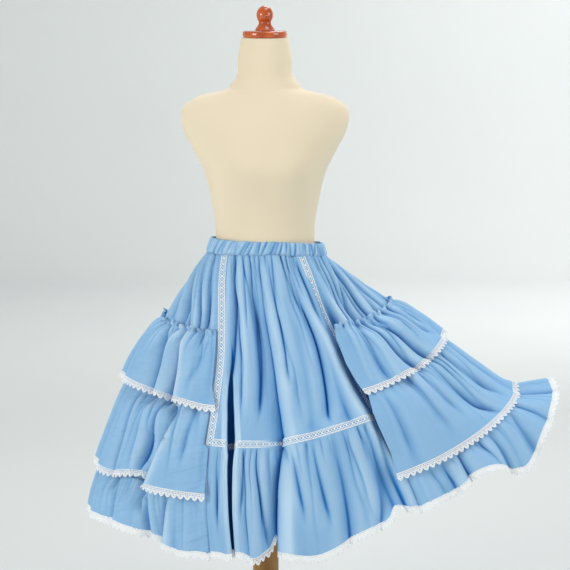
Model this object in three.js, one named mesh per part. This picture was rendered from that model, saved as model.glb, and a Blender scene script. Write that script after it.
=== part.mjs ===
// Tiered ruffle skirt on a limbless dress form.
// Millimetres, +Z up, front toward -Y, origin on the post's axis at the floor.
import * as THREE from 'three';

// ---- driving sizes -------------------------------------------------------------------------

const GAP = 0.4;
const SEAM_GAP = 0.6;
const CLOTH = 1.2;
const LACE = 1.0;

const UPPER_SEAM = 180;
const HEADING = 10;
const UPPER_HEM = 330;
const MIDDLE_SEAM = 326;
const MIDDLE_HEM = 525;
const PANEL_FOOT = 415;
const PANEL_END = 524;
const LOWER_SEAM = 519;
const LOWER_HEM = 628;
const FRONT_HEM = 625;

const LACE_WIDTH = 20;
const LACE_MARGIN = LACE_WIDTH / 2 + 3 * GAP;
const BESIDE_LACE = LACE_WIDTH / 2 + 1.5 * GAP;
const EDGING_DEPTH = 17;

const RECESS_DEPTH = 30;
const PULL_ANGLE = -60;
const PULL_HALF = 22;

const PLATE_TILT = 6;
const PLATE_RADIUS = 50.5;
const PLATE_THICK = 15;

const POST_RADIUS = 30;
const BASE_RADIUS = 200;
const BASE_THICK = 25;
const FORM_UNDERSIDE = 700;

// The waistband's rims: half widths and heights at the left, right, front and back.
const BAND = [
  { left: 120, right: 128.5, front: 96.6, back: 92.2, zLeft: 1008, zFront: 1004, zRight: 994, zBack: 997 },
  { left: 131, right: 138, front: 104.5, back: 100.5, zLeft: 973, zFront: 975, zRight: 965, zBack: 967 },
];

// The skirt hangs round the form in rings. 'down' is measured along the cloth from the band.
// left, right, front and back are half widths; the z columns are the heights at those four sides;
// the seam columns are the angles of the two front seams, 0 at the right and -90 at the front; pull
// is how far the cloth is drawn up beside the right seam.
const RINGS = [
  { down: 0, left: 130, right: 137, front: 104, back: 100, zLeft: 972, zFront: 974, zRight: 964, zBack: 966, leftSeam: -132.5, rightSeam: -54, pull: 0 },
  { down: 90, left: 189, right: 216, front: 142, back: 136, zLeft: 893, zFront: 884, zRight: 903, zBack: 884, leftSeam: -120, rightSeam: -57, pull: 0 },
  { down: 180, left: 234, right: 288, front: 180, back: 170, zLeft: 818, zFront: 800, zRight: 850, zBack: 808, leftSeam: -113.5, rightSeam: -56.5, pull: 0 },
  { down: 340, left: 302, right: 404, front: 255, back: 240, zLeft: 680, zFront: 659, zRight: 764, zBack: 668, leftSeam: -110.2, rightSeam: -57, pull: 0 },
  { down: 430, left: 334, right: 484, front: 290, back: 280, zLeft: 592, zFront: 576, zRight: 702, zBack: 585, leftSeam: -110.4, rightSeam: -58.4, pull: 27 },
  { down: 530, left: 372, right: 574, front: 315, back: 310, zLeft: 492, zFront: 479, zRight: 648, zBack: 490, leftSeam: -109, rightSeam: -58.6, pull: 0 },
  { down: 645, left: 400, right: 678, front: 335, back: 335, zLeft: 374, zFront: 369, zRight: 653, zBack: 378, leftSeam: -106, rightSeam: -60.5, pull: 0 },
];

// Main folds. 'top', 'middle' and 'foot' place a trough across its section, 0 to 1, on its way from
// 'from' to 'to' down the cloth; half and deep are its half width and depth.
const FRONT_FOLDS = [
  { top: 0.178, middle: 0.135, foot: 0.100, from: 8, to: 262, half: 13, deep: 20 },
  { top: 0.095, middle: 0.142, foot: 0.158, from: 258, to: 660, half: 14, deep: 44 },
  { top: 0.376, middle: 0.372, foot: 0.345, from: 6, to: 330, half: 13, deep: 14 },
  { top: 0.486, middle: 0.462, foot: 0.500, from: 6, to: 395, half: 18, deep: 22 },
  { top: 0.620, middle: 0.575, foot: 0.548, from: 6, to: 260, half: 12, deep: 11 },
  { top: 0.779, middle: 0.815, foot: 0.752, from: 2, to: 370, half: 12, deep: 19 },
  { top: 0.500, middle: 0.455, foot: 0.425, from: 420, to: 660, half: 24, deep: 36 },
  { top: 0.729, middle: 0.722, foot: 0.697, from: 432, to: 660, half: 15, deep: 18 },
  { top: 0.875, middle: 0.890, foot: 0.862, from: 424, to: 640, half: 18, deep: 22 },
  { top: 0.955, middle: 0.958, foot: 0.945, from: 424, to: 660, half: 15, deep: 13 },
];
const SIDE_FOLDS = [
  { top: 0.830, middle: 0.900, foot: 0.910, from: 2, to: 340, half: 22, deep: 34 },
  { top: 0.892, middle: 0.935, foot: 0.945, from: 8, to: 185, half: 11, deep: 10 },
  { top: 0.925, middle: 0.934, foot: 0.940, from: 176, to: 350, half: 20, deep: 26 },
  { top: 0.892, middle: 0.888, foot: 0.893, from: 178, to: 345, half: 20, deep: 18 },
  { top: 0.952, middle: 0.935, foot: 0.915, from: 326, to: 560, half: 24, deep: 38 },
  { top: 0.860, middle: 0.860, foot: 0.862, from: 350, to: 560, half: 19, deep: 24 },
  { top: 0.958, middle: 0.950, foot: 0.945, from: 545, to: 660, half: 22, deep: 34 },
  { top: 0.872, middle: 0.871, foot: 0.869, from: 550, to: 660, half: 20, deep: 18 },
  { top: 0.216, middle: 0.148, foot: 0.112, from: 2, to: 210, half: 14, deep: 16 },
  { top: 0.060, middle: 0.064, foot: 0.078, from: 190, to: 345, half: 18, deep: 18 },
  { top: 0.080, middle: 0.096, foot: 0.110, from: 190, to: 345, half: 20, deep: 22 },
  { top: 0.095, middle: 0.098, foot: 0.112, from: 350, to: 490, half: 20, deep: 18 },
  { top: 0.133, middle: 0.141, foot: 0.150, from: 350, to: 470, half: 18, deep: 12 },
  { top: 0.046, middle: 0.042, foot: 0.040, from: 545, to: 665, half: 20, deep: 26 },
  { top: 0.081, middle: 0.079, foot: 0.075, from: 550, to: 665, half: 20, deep: 18 },
];

// Rises and droops of a hem: 'at' across the section, half widths to its left and right, and the
// rise at the hem.
const UPPER_SHIFTS = [
  { at: 0.060, left: 0.080, right: 0.070, rise: -11 },
  { at: 0.985, left: 0.050, right: 0.050, rise: -11 },
];
const MIDDLE_SHIFTS = [
  { at: 0.910, left: 0.035, right: 0.010, rise: 25 },
  { at: 0.060, left: 0.080, right: 0.070, rise: -4 },
];
const LOWER_SHIFTS = [
  { at: 0.043, left: 0.010, right: 0.020, rise: 16 },
  { at: 0.106, left: 0.026, right: 0.050, rise: -50 },
  { at: 0.094, left: 0.032, right: 0.016, rise: -34 },
  { at: 0.880, left: 0.050, right: 0.030, rise: 10 },
  { at: 0.925, left: 0.030, right: 0.012, rise: 4 },
  { at: 0.965, left: 0.018, right: 0.018, rise: -18 },
];
const FRONT_SHIFTS = [
  { at: 0.402, left: 0.018, right: 0.016, rise: 30 },
  { at: 0.905, left: 0.032, right: 0.060, rise: 18 },
  { at: 0.560, left: 0.160, right: 0.150, rise: -34 },
  { at: 0.290, left: 0.090, right: 0.070, rise: -30 },
  { at: 0.120, left: 0.050, right: 0.080, rise: -14 },
];
// The same at the right and left front seams: the rise, and how far from the seam it reaches.
const SEAM_SHIFTS = [
  { rise: 5, reach: 50 },
  { rise: -22, reach: 60 },
];

// Dress form: half width, front and back depth at each height; 'slope' tips the neck forward.
const FORM_ROWS = [
  { z: 700, wide: 168, front: 118, back: 134, slope: 0 },
  { z: 760, wide: 170, front: 121, back: 140, slope: 0 },
  { z: 820, wide: 161, front: 117, back: 136, slope: 0 },
  { z: 880, wide: 140, front: 108, back: 120, slope: 0 },
  { z: 930, wide: 122, front: 99, back: 103, slope: 0 },
  { z: 962, wide: 114, front: 95.5, back: 94, slope: 0 },
  { z: 1000, wide: 112.5, front: 94.8, back: 90.4, slope: 0 },
  { z: 1045, wide: 114.5, front: 97, back: 91, slope: 0 },
  { z: 1090, wide: 122, front: 104, back: 95, slope: 0 },
  { z: 1125, wide: 129, front: 114, back: 99, slope: 0 },
  { z: 1159, wide: 139, front: 122, back: 103, slope: 0 },
  { z: 1204, wide: 161, front: 119, back: 108, slope: 0 },
  { z: 1250, wide: 184, front: 108, back: 109, slope: 0 },
  { z: 1279, wide: 190, front: 98, back: 105, slope: 0 },
  { z: 1302, wide: 184, front: 88, back: 98, slope: 0 },
  { z: 1318, wide: 164, front: 79, back: 91, slope: 0 },
  { z: 1329, wide: 139, front: 72, back: 86, slope: 0 },
  { z: 1340, wide: 90, front: 64, back: 80, slope: 0.01 },
  { z: 1352, wide: 78, front: 60, back: 75, slope: 0.02 },
  { z: 1363, wide: 68, front: 58, back: 70, slope: 0.03 },
  { z: 1409, wide: 61, front: 55, back: 62, slope: 0.07 },
  { z: 1456, wide: 53, front: 51, back: 53, slope: Math.tan(PLATE_TILT * Math.PI / 180) },
];

// ---- smooth form of the skirt --------------------------------------------------------------

function slopeAt(rows, key, column, i) {
  const last = rows.length - 1;
  const rate = (a, b) => (rows[b][column] - rows[a][column]) / (rows[b][key] - rows[a][key]);
  if (i === 0) return rate(0, 1);
  if (i === last) return rate(last - 1, last);
  const before = rows[i][key] - rows[i - 1][key];
  const after = rows[i + 1][key] - rows[i][key];
  return (rate(i, i + 1) * before + rate(i - 1, i) * after) / (before + after);
}

// Smooth curve through one column of a table.
function through(rows, key, column, x) {
  let i = 0;
  while (i < rows.length - 2 && x >= rows[i + 1][key]) i += 1;
  const h = rows[i + 1][key] - rows[i][key];
  const t = (x - rows[i][key]) / h;
  const a = rows[i][column];
  const b = rows[i + 1][column];
  const ma = slopeAt(rows, key, column, i) * h;
  const mb = slopeAt(rows, key, column, i + 1) * h;
  const t2 = t * t;
  const t3 = t2 * t;
  return (2 * t3 - 3 * t2 + 1) * a + (t3 - 2 * t2 + t) * ma + (3 * t2 - 2 * t3) * b + (t3 - t2) * mb;
}

function ring(column, down) {
  return through(RINGS, 'down', column, down);
}

// Point on the smooth skirt at an angle in degrees and a distance down the cloth.
function skirtPoint(angle, down) {
  const c = Math.cos(angle * Math.PI / 180);
  const s = Math.sin(angle * Math.PI / 180);
  const x = ring(c > 0 ? 'right' : 'left', down) * c;
  const y = ring(s < 0 ? 'front' : 'back', down) * s;
  const zAcross = ring(c > 0 ? 'zRight' : 'zLeft', down);
  const zAlong = ring(s < 0 ? 'zFront' : 'zBack', down);
  const pulled = ring('pull', down) * Math.exp(-(((angle - PULL_ANGLE) / PULL_HALF) ** 2));
  return new THREE.Vector3(x, y, zAcross * c * c + zAlong * s * s + pulled);
}

const FRONT = {
  folds: FRONT_FOLDS,
  stretches: [{ from: 0, to: 1, count: 26 }],
  angle: (across, down) => ring('leftSeam', down) * (1 - across) + ring('rightSeam', down) * across,
};
const SIDE = {
  folds: SIDE_FOLDS,
  stretches: [
    { from: 0, to: 0.15, count: 10 },
    { from: 0.15, to: 0.85, count: 29 },
    { from: 0.85, to: 1, count: 13 },
  ],
  angle: (across, down) => ring('rightSeam', down) * (1 - across) + (ring('leftSeam', down) + 360) * across,
};

// Length of a section round the skirt, for turning millimetres into fractions of it.
function spanOf(section, down) {
  const steps = 24;
  let length = 0;
  let before = skirtPoint(section.angle(0, down), down);
  for (let i = 1; i <= steps; i += 1) {
    const next = skirtPoint(section.angle(i / steps, down), down);
    length += next.distanceTo(before);
    before = next;
  }
  return length;
}

function easeIn(x) {
  const t = Math.min(1, Math.max(0, x));
  return t * t * (3 - 2 * t);
}

// Inward depth of the main folds at a place on a section; they die out beside the lace strips.
function foldDepth(section, across, down, span) {
  let depth = 0;
  for (const fold of section.folds) {
    const along = Math.min(1, Math.max(0, (down - fold.from) / (fold.to - fold.from)));
    const at = fold.top * (1 - along) * (1 - 2 * along)
      + 4 * fold.middle * along * (1 - along)
      + fold.foot * along * (2 * along - 1);
    const offset = (across - at) * span / fold.half;
    const fade = easeIn((down - fold.from + 14) / 34) * easeIn((fold.to + 36 - down) / 66);
    const grow = 0.4 + 0.6 * easeIn((down - fold.from) / 130);
    depth += fold.deep * grow * fade * Math.exp(-offset * offset);
  }
  const fromSeam = Math.min(across, 1 - across) * span;
  return depth * easeIn((fromSeam - LACE_WIDTH / 2) / 14);
}

// Depth of the cloth turned in along the right seam, at a distance past it.
function recessDepth(past, down) {
  const deep = RECESS_DEPTH * easeIn((down - 20) / 150) * easeIn((540 - down) / 130);
  return deep * easeIn((past + 44) / 58) * (1 - easeIn((past - 14) / 14));
}

// Soft flutes of the sides and back, out of the way of the folds placed by hand.
function fluteHeight(section, across, down) {
  if (section !== SIDE) return 0;
  const inside = easeIn((across - 0.15) / 0.06) * easeIn((0.85 - across) / 0.06);
  const turn = 2 * Math.PI * across;
  const wave = 0.6 * Math.cos(19 * turn + 0.6) + 0.4 * Math.cos(13 * turn + 2.1);
  return 11 * inside * easeIn(down / 400) * wave;
}

// Point of a sheet: the smooth skirt, its folds, then 'off' outward; 'lift' raises it, and a
// recessed sheet turns in at the right seam.
function sheetPoint(section, across, down, off, lift, recessed) {
  const step = 0.002;
  const point = skirtPoint(section.angle(across, down), down);
  const round = skirtPoint(section.angle(across + step, down), down)
    .sub(skirtPoint(section.angle(across - step, down), down));
  const fall = skirtPoint(section.angle(across, down + 1), down + 1)
    .sub(skirtPoint(section.angle(across, Math.max(0, down - 1)), Math.max(0, down - 1)));
  const out = fall.cross(round).normalize();
  const span = spanOf(section, down);
  let inward = foldDepth(section, across, down, span) - fluteHeight(section, across, down);
  if (recessed) inward += recessDepth(section === SIDE ? across * span : (across - 1) * span, down);
  point.addScaledVector(out, off - inward);
  point.z += lift;
  return { point, out };
}

// How far a ruffle stands off the cloth behind it, 'floor' at least; its ends are caught in at the
// front lace.
function standOff(below, most, fromEnd, floor) {
  const puff = most * (1 - Math.exp(-Math.abs(below) / 40));
  return CLOTH + GAP + Math.max(floor, puff * (0.12 + 0.88 * easeIn(fromEnd / 70)));
}

function hemLift(shifts, across, share, sewn) {
  const inside = sewn ? easeIn(Math.min(across, 1 - across) / 0.02) : 1;
  let lift = 0;
  for (const shift of shifts) {
    const offset = (across - shift.at) / (across < shift.at ? shift.left : shift.right);
    lift += shift.rise * inside * share * share * Math.exp(-offset * offset);
  }
  return lift;
}

// Rise of a sewn hem that follows its two seams; fromRight and fromLeft are distances to them.
function seamLift(fromRight, fromLeft, share) {
  const [right, left] = SEAM_SHIFTS;
  const near = right.rise * Math.exp(-((fromRight / right.reach) ** 2));
  return share * share * (near + left.rise * Math.exp(-((fromLeft / left.reach) ** 2)));
}

// ---- closed walls --------------------------------------------------------------------------

// Wall through a grid of points: grid[row][column] holds a point and its outward direction.
function wallFrom(grid, thick, round) {
  const rows = grid.length;
  const columns = grid[0].length;
  const positions = [];
  for (const side of [0.5, -0.5]) {
    for (const row of grid) {
      for (const { point, out } of row) {
        const p = point.clone().addScaledVector(out, side * thick);
        positions.push(p.x, p.y, p.z);
      }
    }
  }
  const index = [];
  const at = (face, row, column) => face * rows * columns + row * columns + (column % columns);
  const quad = (a, b, c, d) => index.push(a, b, c, a, c, d);
  const spans = round ? columns : columns - 1;
  for (let row = 0; row < rows - 1; row += 1) {
    for (let column = 0; column < spans; column += 1) {
      quad(at(0, row, column), at(0, row + 1, column), at(0, row + 1, column + 1), at(0, row, column + 1));
      quad(at(1, row, column), at(1, row, column + 1), at(1, row + 1, column + 1), at(1, row + 1, column));
    }
  }
  for (let column = 0; column < spans; column += 1) {
    quad(at(0, 0, column), at(0, 0, column + 1), at(1, 0, column + 1), at(1, 0, column));
    quad(at(0, rows - 1, column), at(1, rows - 1, column), at(1, rows - 1, column + 1), at(0, rows - 1, column + 1));
  }
  if (!round) {
    for (let row = 0; row < rows - 1; row += 1) {
      quad(at(0, row, 0), at(1, row, 0), at(1, row + 1, 0), at(0, row + 1, 0));
      const end = columns - 1;
      quad(at(0, row, end), at(0, row + 1, end), at(1, row + 1, end), at(1, row, end));
    }
  }
  const geometry = new THREE.BufferGeometry();
  geometry.setAttribute('position', new THREE.Float32BufferAttribute(positions, 3));
  geometry.setIndex(index);
  return geometry;
}

// Places across a section: its two ends, given in millimetres from the seams, and between them
// places that all its sheets share, closer together where the folds are.
function placesAcross(section, down, ends) {
  const span = spanOf(section, down);
  const margin = LACE_MARGIN / span;
  const places = [ends.start / span];
  for (const { from, to, count } of section.stretches) {
    for (let i = 0; i < count; i += 1) {
      places.push(margin + (1 - 2 * margin) * (from + (to - from) * i / count));
    }
  }
  return [...places, 1 - margin, 1 - ends.end / span];
}

const BETWEEN_LACES = () => ({ start: BESIDE_LACE, end: BESIDE_LACE });
const AT_SEAMS = () => ({ start: SEAM_GAP / 2, end: SEAM_GAP / 2 });

// Points of one sheet; shape.ends gives its ends at each row.
function clothGrid(section, downs, shape) {
  const { ends = BETWEEN_LACES, off = none, lift = none, recessed = false } = shape;
  return downs.map((down) => {
    const span = spanOf(section, down);
    return placesAcross(section, down, ends(down)).map((across) => {
      const fromEnd = Math.min(across, 1 - across) * span;
      return sheetPoint(section, across, down, off(down, fromEnd), lift(across, down, span), recessed);
    });
  });
}

function none() {
  return 0;
}

// Rows that the front panel, the side panel and the upright lace share along the front seams.
const PANEL_DOWNS = [85, 165, 180, 255, 326, 405];

// ---- the skirt's pieces --------------------------------------------------------------------

function waistbandGrid() {
  const columns = 64;
  return BAND.map((rim) => {
    const line = [];
    for (let i = 0; i < columns; i += 1) {
      const angle = 2 * Math.PI * i / columns;
      const c = Math.cos(angle);
      const s = Math.sin(angle);
      const x = (c > 0 ? rim.right : rim.left) * c;
      const y = (s < 0 ? rim.front : rim.back) * s;
      const z = (c > 0 ? rim.zRight : rim.zLeft) * c * c + (s < 0 ? rim.zFront : rim.zBack) * s * s;
      line.push({ point: new THREE.Vector3(x, y, z), out: new THREE.Vector3(c, s, 0) });
    }
    return line;
  });
}

function shareOf(down, start, hem) {
  return Math.max(0, down - start) / (hem - start);
}

// The ruffles lie over the right seam's lace, and stop beside the left one.
const UPPER = {
  ends: (down) => ({ start: -3 - 5 * easeIn((down - 170) / 40), end: BESIDE_LACE }),
  off: (down, fromEnd) => (down < UPPER_SEAM
    ? standOff(down - UPPER_SEAM, 12, fromEnd, 3)
    : standOff(down - UPPER_SEAM, 23, fromEnd, 11 * easeIn((down - 280) / 50))),
  lift: (across, down) => hemLift(UPPER_SHIFTS, across, shareOf(down, UPPER_SEAM, UPPER_HEM), false),
};
const MIDDLE = {
  ends: (down) => ({
    start: -10,
    end: down > PANEL_FOOT + BESIDE_LACE ? SEAM_GAP : BESIDE_LACE,
  }),
  off: (down, fromEnd) => standOff(down - MIDDLE_SEAM, 14, fromEnd, 0.6 + 8 * easeIn((down - 480) / 40)),
  lift: (across, down) => hemLift(MIDDLE_SHIFTS, across, shareOf(down, MIDDLE_SEAM, MIDDLE_HEM), false),
};
const LOWER = {
  ends: AT_SEAMS,
  off: (down, fromEnd) => standOff(down - LOWER_SEAM, 9, fromEnd, 0),
  lift: (across, down, span) => {
    const share = shareOf(down, LOWER_SEAM, LOWER_HEM);
    return hemLift(LOWER_SHIFTS, across, share, true) + seamLift(across * span, (1 - across) * span, share);
  },
};
const FRONT_RUFFLE = {
  ends: AT_SEAMS,
  lift: (across, down, span) => {
    const share = shareOf(down, PANEL_FOOT, FRONT_HEM);
    return hemLift(FRONT_SHIFTS, across, share, true) + seamLift((1 - across) * span, across * span, share);
  },
  recessed: true,
};
const PANEL = { ends: AT_SEAMS, recessed: true };

function edgingGrid(section, hem, shape) {
  return clothGrid(section, [hem + SEAM_GAP, hem + SEAM_GAP + EDGING_DEPTH], shape);
}

// An upright lace strip lies over a front seam, half on the front and half on the side panel.
function uprightLaceGrid(atLeft) {
  const off = (CLOTH + LACE) / 2 + GAP;
  const downs = [2, ...PANEL_DOWNS, PANEL_FOOT, PANEL_FOOT + LACE_WIDTH / 2];
  return downs.map((down) => {
    const inFront = (LACE_WIDTH / 2) / spanOf(FRONT, down);
    const inSide = (LACE_WIDTH / 2) / spanOf(SIDE, down);
    const side = sheetPoint(SIDE, atLeft ? 1 - inSide : inSide, down, off, 0, true);
    const seam = sheetPoint(FRONT, atLeft ? 0 : 1, down, off, 0, true);
    const front = sheetPoint(FRONT, atLeft ? inFront : 1 - inFront, down, off, 0, true);
    return atLeft ? [side, seam, front] : [front, seam, side];
  });
}

function levelLaceGrid() {
  const off = (CLOTH + LACE) / 2 + GAP;
  const downs = [PANEL_FOOT - LACE_WIDTH / 2, PANEL_FOOT, PANEL_FOOT + LACE_WIDTH / 2];
  return clothGrid(FRONT, downs, { off: () => off, recessed: true });
}

// ---- the dress form ------------------------------------------------------------------------

function formGeometry() {
  const columns = 48;
  const positions = [];
  const index = [];
  for (const row of FORM_ROWS) {
    for (let i = 0; i < columns; i += 1) {
      const angle = 2 * Math.PI * i / columns;
      const x = row.wide * Math.cos(angle);
      const y = (Math.sin(angle) < 0 ? row.front : row.back) * Math.sin(angle);
      positions.push(x, y, row.z + row.slope * y);
    }
  }
  const rows = FORM_ROWS.length;
  for (let row = 0; row < rows - 1; row += 1) {
    for (let i = 0; i < columns; i += 1) {
      const next = (i + 1) % columns;
      const a = row * columns + i;
      const b = row * columns + next;
      const c = (row + 1) * columns + next;
      const d = (row + 1) * columns + i;
      index.push(a, b, c, a, c, d);
    }
  }
  const foot = positions.length / 3;
  positions.push(0, 0, FORM_ROWS[0].z);
  positions.push(0, 0, FORM_ROWS[rows - 1].z);
  for (let i = 0; i < columns; i += 1) {
    const next = (i + 1) % columns;
    index.push(foot, next, i);
    index.push(foot + 1, (rows - 1) * columns + i, (rows - 1) * columns + next);
  }
  const geometry = new THREE.BufferGeometry();
  geometry.setAttribute('position', new THREE.Float32BufferAttribute(positions, 3));
  geometry.setIndex(index);
  return geometry;
}

// A turned shape from [radius, height] pairs that start and end on the axis, standing along +Z.
function turned(profile, segments) {
  const points = profile.map(([radius, height]) => new THREE.Vector2(radius, height));
  return new THREE.LatheGeometry(points, segments).rotateX(Math.PI / 2);
}

function tippedWithNeck(geometry, height) {
  const top = FORM_ROWS[FORM_ROWS.length - 1].z;
  return geometry.translate(0, 0, height).rotateX(PLATE_TILT * Math.PI / 180).translate(0, 0, top);
}

function plateGeometry() {
  const r = PLATE_RADIUS;
  const t = PLATE_THICK;
  const profile = [[0, 0], [r - 4, 0], [r - 1, 1.5], [r, 5], [r, t - 5], [r - 1.5, t - 1.5], [r - 5, t], [0, t]];
  return tippedWithNeck(turned(profile, 36), GAP);
}

function finialGeometry() {
  const profile = [
    [0, 0], [25, 0], [24, 2.5], [18, 6], [14.5, 11], [13.5, 17], [14, 20],
    [17.2, 25], [19, 33], [17.5, 42], [13, 49.5], [6.5, 54], [0, 55.2],
  ];
  return tippedWithNeck(turned(profile, 28), PLATE_THICK + 2 * GAP);
}

function postGeometry() {
  const height = FORM_UNDERSIDE - BASE_THICK - 2 * GAP;
  const geometry = new THREE.CylinderGeometry(POST_RADIUS, POST_RADIUS, height, 32);
  return geometry.rotateX(Math.PI / 2).translate(0, 0, BASE_THICK + GAP + height / 2);
}

function baseGeometry() {
  const r = BASE_RADIUS;
  const t = BASE_THICK;
  const profile = [[0, 0], [r - 2, 0], [r, 2], [r, t - 8], [r - 2, t - 3], [r - 8, t], [0, t]];
  return turned(profile, 48);
}

// ---- assembly ------------------------------------------------------------------------------

const BLUE = { color: 0x8ab8e4, roughness: 0.85, metalness: 0 };
const WHITE = { color: 0xf2f1ee, roughness: 0.9, metalness: 0 };
const CREAM = { color: 0xe2d8c2, roughness: 0.95, metalness: 0 };
const KNOB = { color: 0xb8572b, roughness: 0.3, metalness: 0 };
const WOOD = { color: 0xb98546, roughness: 0.45, metalness: 0 };

const object = new THREE.Group();
object.name = 'tiered_ruffle_skirt_on_dress_form';

function add(name, geometry, look) {
  const mesh = new THREE.Mesh(geometry, new THREE.MeshStandardMaterial(look));
  mesh.name = name;
  object.add(mesh);
}

function addCloth(name, grid, thick = CLOTH, look = BLUE) {
  add(name, wallFrom(grid, thick, false), look);
}

add('waistband', wallFrom(waistbandGrid(), CLOTH * 2, true), BLUE);

const panelDowns = [0, ...PANEL_DOWNS, PANEL_FOOT - GAP / 2];
addCloth('front_panel', clothGrid(FRONT, panelDowns, PANEL));

const sideDowns = [0, ...PANEL_DOWNS, PANEL_FOOT, PANEL_FOOT + LACE_WIDTH / 2, 472, LOWER_SEAM, PANEL_END];
addCloth('side_back_panel', clothGrid(SIDE, sideDowns, PANEL));

const upperDowns = [UPPER_SEAM - HEADING, UPPER_SEAM, 205, 255, UPPER_HEM];
addCloth('ruffle_upper', clothGrid(SIDE, upperDowns, UPPER));

const middleDowns = [MIDDLE_SEAM, 355, 424, 430, 472, MIDDLE_HEM];
addCloth('ruffle_middle', clothGrid(SIDE, middleDowns, MIDDLE));

const lowerDowns = [LOWER_SEAM, 530, 565, LOWER_HEM];
addCloth('ruffle_lower', clothGrid(SIDE, lowerDowns, LOWER));

const frontDowns = [PANEL_FOOT + GAP / 2, PANEL_FOOT + LACE_WIDTH / 2, 472, LOWER_SEAM, 572, FRONT_HEM];
addCloth('front_ruffle', clothGrid(FRONT, frontDowns, FRONT_RUFFLE));

addCloth('lace_front_left', uprightLaceGrid(true), LACE, WHITE);
addCloth('lace_front_right', uprightLaceGrid(false), LACE, WHITE);
addCloth('lace_front_bottom', levelLaceGrid(), LACE, WHITE);

addCloth('edging_upper', edgingGrid(SIDE, UPPER_HEM, UPPER), LACE, WHITE);
addCloth('edging_middle', edgingGrid(SIDE, MIDDLE_HEM, MIDDLE), LACE, WHITE);
addCloth('edging_lower', edgingGrid(SIDE, LOWER_HEM, LOWER), LACE, WHITE);
addCloth('edging_front', edgingGrid(FRONT, FRONT_HEM, FRONT_RUFFLE), LACE, WHITE);

add('form_body', formGeometry(), CREAM);
add('neck_plate', plateGeometry(), KNOB);
add('finial', finialGeometry(), KNOB);
add('post', postGeometry(), WOOD);
add('base', baseGeometry(), WOOD);

export default object;
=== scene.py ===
"""Tiered ruffle skirt on a dress form.

The cloth, its lace and the form are shaped in millimetres, +Z up with the front toward -Y, and put
into Blender in metres.
"""

import math

import bpy
import numpy as np
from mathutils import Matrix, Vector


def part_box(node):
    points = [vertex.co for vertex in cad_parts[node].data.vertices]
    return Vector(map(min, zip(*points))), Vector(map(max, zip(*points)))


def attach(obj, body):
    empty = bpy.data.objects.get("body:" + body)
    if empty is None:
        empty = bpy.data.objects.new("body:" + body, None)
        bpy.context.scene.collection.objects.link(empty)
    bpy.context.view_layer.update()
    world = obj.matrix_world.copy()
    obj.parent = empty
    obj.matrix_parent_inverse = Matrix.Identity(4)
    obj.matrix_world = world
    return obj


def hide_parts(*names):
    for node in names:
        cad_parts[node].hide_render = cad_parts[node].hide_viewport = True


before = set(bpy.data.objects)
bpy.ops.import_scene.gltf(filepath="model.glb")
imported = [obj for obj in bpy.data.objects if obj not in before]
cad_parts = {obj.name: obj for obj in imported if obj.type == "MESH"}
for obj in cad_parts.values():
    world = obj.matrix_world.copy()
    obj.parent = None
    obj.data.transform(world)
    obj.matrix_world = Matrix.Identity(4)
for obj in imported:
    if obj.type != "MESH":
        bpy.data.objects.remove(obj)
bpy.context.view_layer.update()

bl_info = {
    "name": "Tiered Ruffle Skirt",
    "version": (1, 0, 0),
    "blender": (4, 5, 0),
    "location": "View3D > Sidebar > Skirt",
    "description": "Builds a tiered ruffle skirt with lace on a dress form",
    "category": "Object",
}

MM = 0.001

# Levels, in millimetres down the cloth from the waistband's lower edge.
YOKE_FOOT = 190
UPPER_SEAM = 180
UPPER_HEM = 330
MIDDLE_SEAM = 326
MIDDLE_HEM = 525
PANEL_FOOT = 415
PANEL_END = 524
LOWER_SEAM = 519
LOWER_HEM = 628
FRONT_HEM = 625

# How high the upper ruffle's heading stands above its seam, how far the cloth springs out below the
# waistband, and the least distance of a ruffle from the cloth beneath, middle to middle.
HEADING = 10
SPRING = 3.2
RUFFLE_GAP = 1.7

# How far in from its own end a ruffle stops, to leave the lace free, and how far from its ends a
# sheet lies flat beneath the lace.
BESIDE_LACE = 10.6
LACE_CALM = 10

# Lengths of one repeat of each trim as it is drawn, and how far above the hem the edging starts.
EDGING_PITCH = 15
INSERTION_PITCH = 14
STITCH_PITCH = 3.2
EDGING_LAP = 2.2

# How deep the flutes of the back are, and how far the cloth turns in along the right seam.
FLUTE_DEPTH = 11
RECESS_DEPTH = 38

# The rings that the skirt hangs in: half widths, heights at the four sides, the angles of the two
# front seams, 0 at the right and -90 at the front, and how far the cloth is pulled up by the right
# seam. The pull is strongest at its own angle and dies out over PULL_HALF degrees.
PULL_ANGLE = -60
PULL_HALF = 22
RING_COLUMNS = (
    "down", "left", "right", "front", "back",
    "z_left", "z_front", "z_right", "z_back", "left_seam", "right_seam", "pull",
)
RINGS = np.array(
    [
        (0, 130, 137, 104, 100, 972, 974, 964, 966, -132.5, -54, 0),
        (90, 189, 216, 142, 136, 893, 884, 903, 884, -120, -57, 0),
        (180, 234, 288, 180, 170, 818, 800, 850, 808, -113.5, -56.5, 0),
        (340, 302, 404, 255, 240, 680, 659, 764, 668, -110.2, -57.0, 0),
        (430, 334, 484, 290, 280, 592, 576, 702, 585, -110.4, -58.4, 27),
        (530, 372, 574, 315, 310, 492, 479, 648, 490, -109, -58.6, 0),
        (645, 400, 678, 335, 335, 374, 369, 653, 378, -106, -60.5, 0),
    ],
    float,
)

# The waistband's rims, from its top: half widths, then heights at the four sides.
BAND = np.array(
    [
        (0, 120, 128.5, 96.6, 92.2, 1008, 1004, 994, 997),
        (1, 131, 138, 104.5, 100.5, 973, 975, 965, 967),
    ],
    float,
)
BAND_RADIUS = 125
BAND_ROUND = 785.4
BAND_HEIGHT = 38

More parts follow.
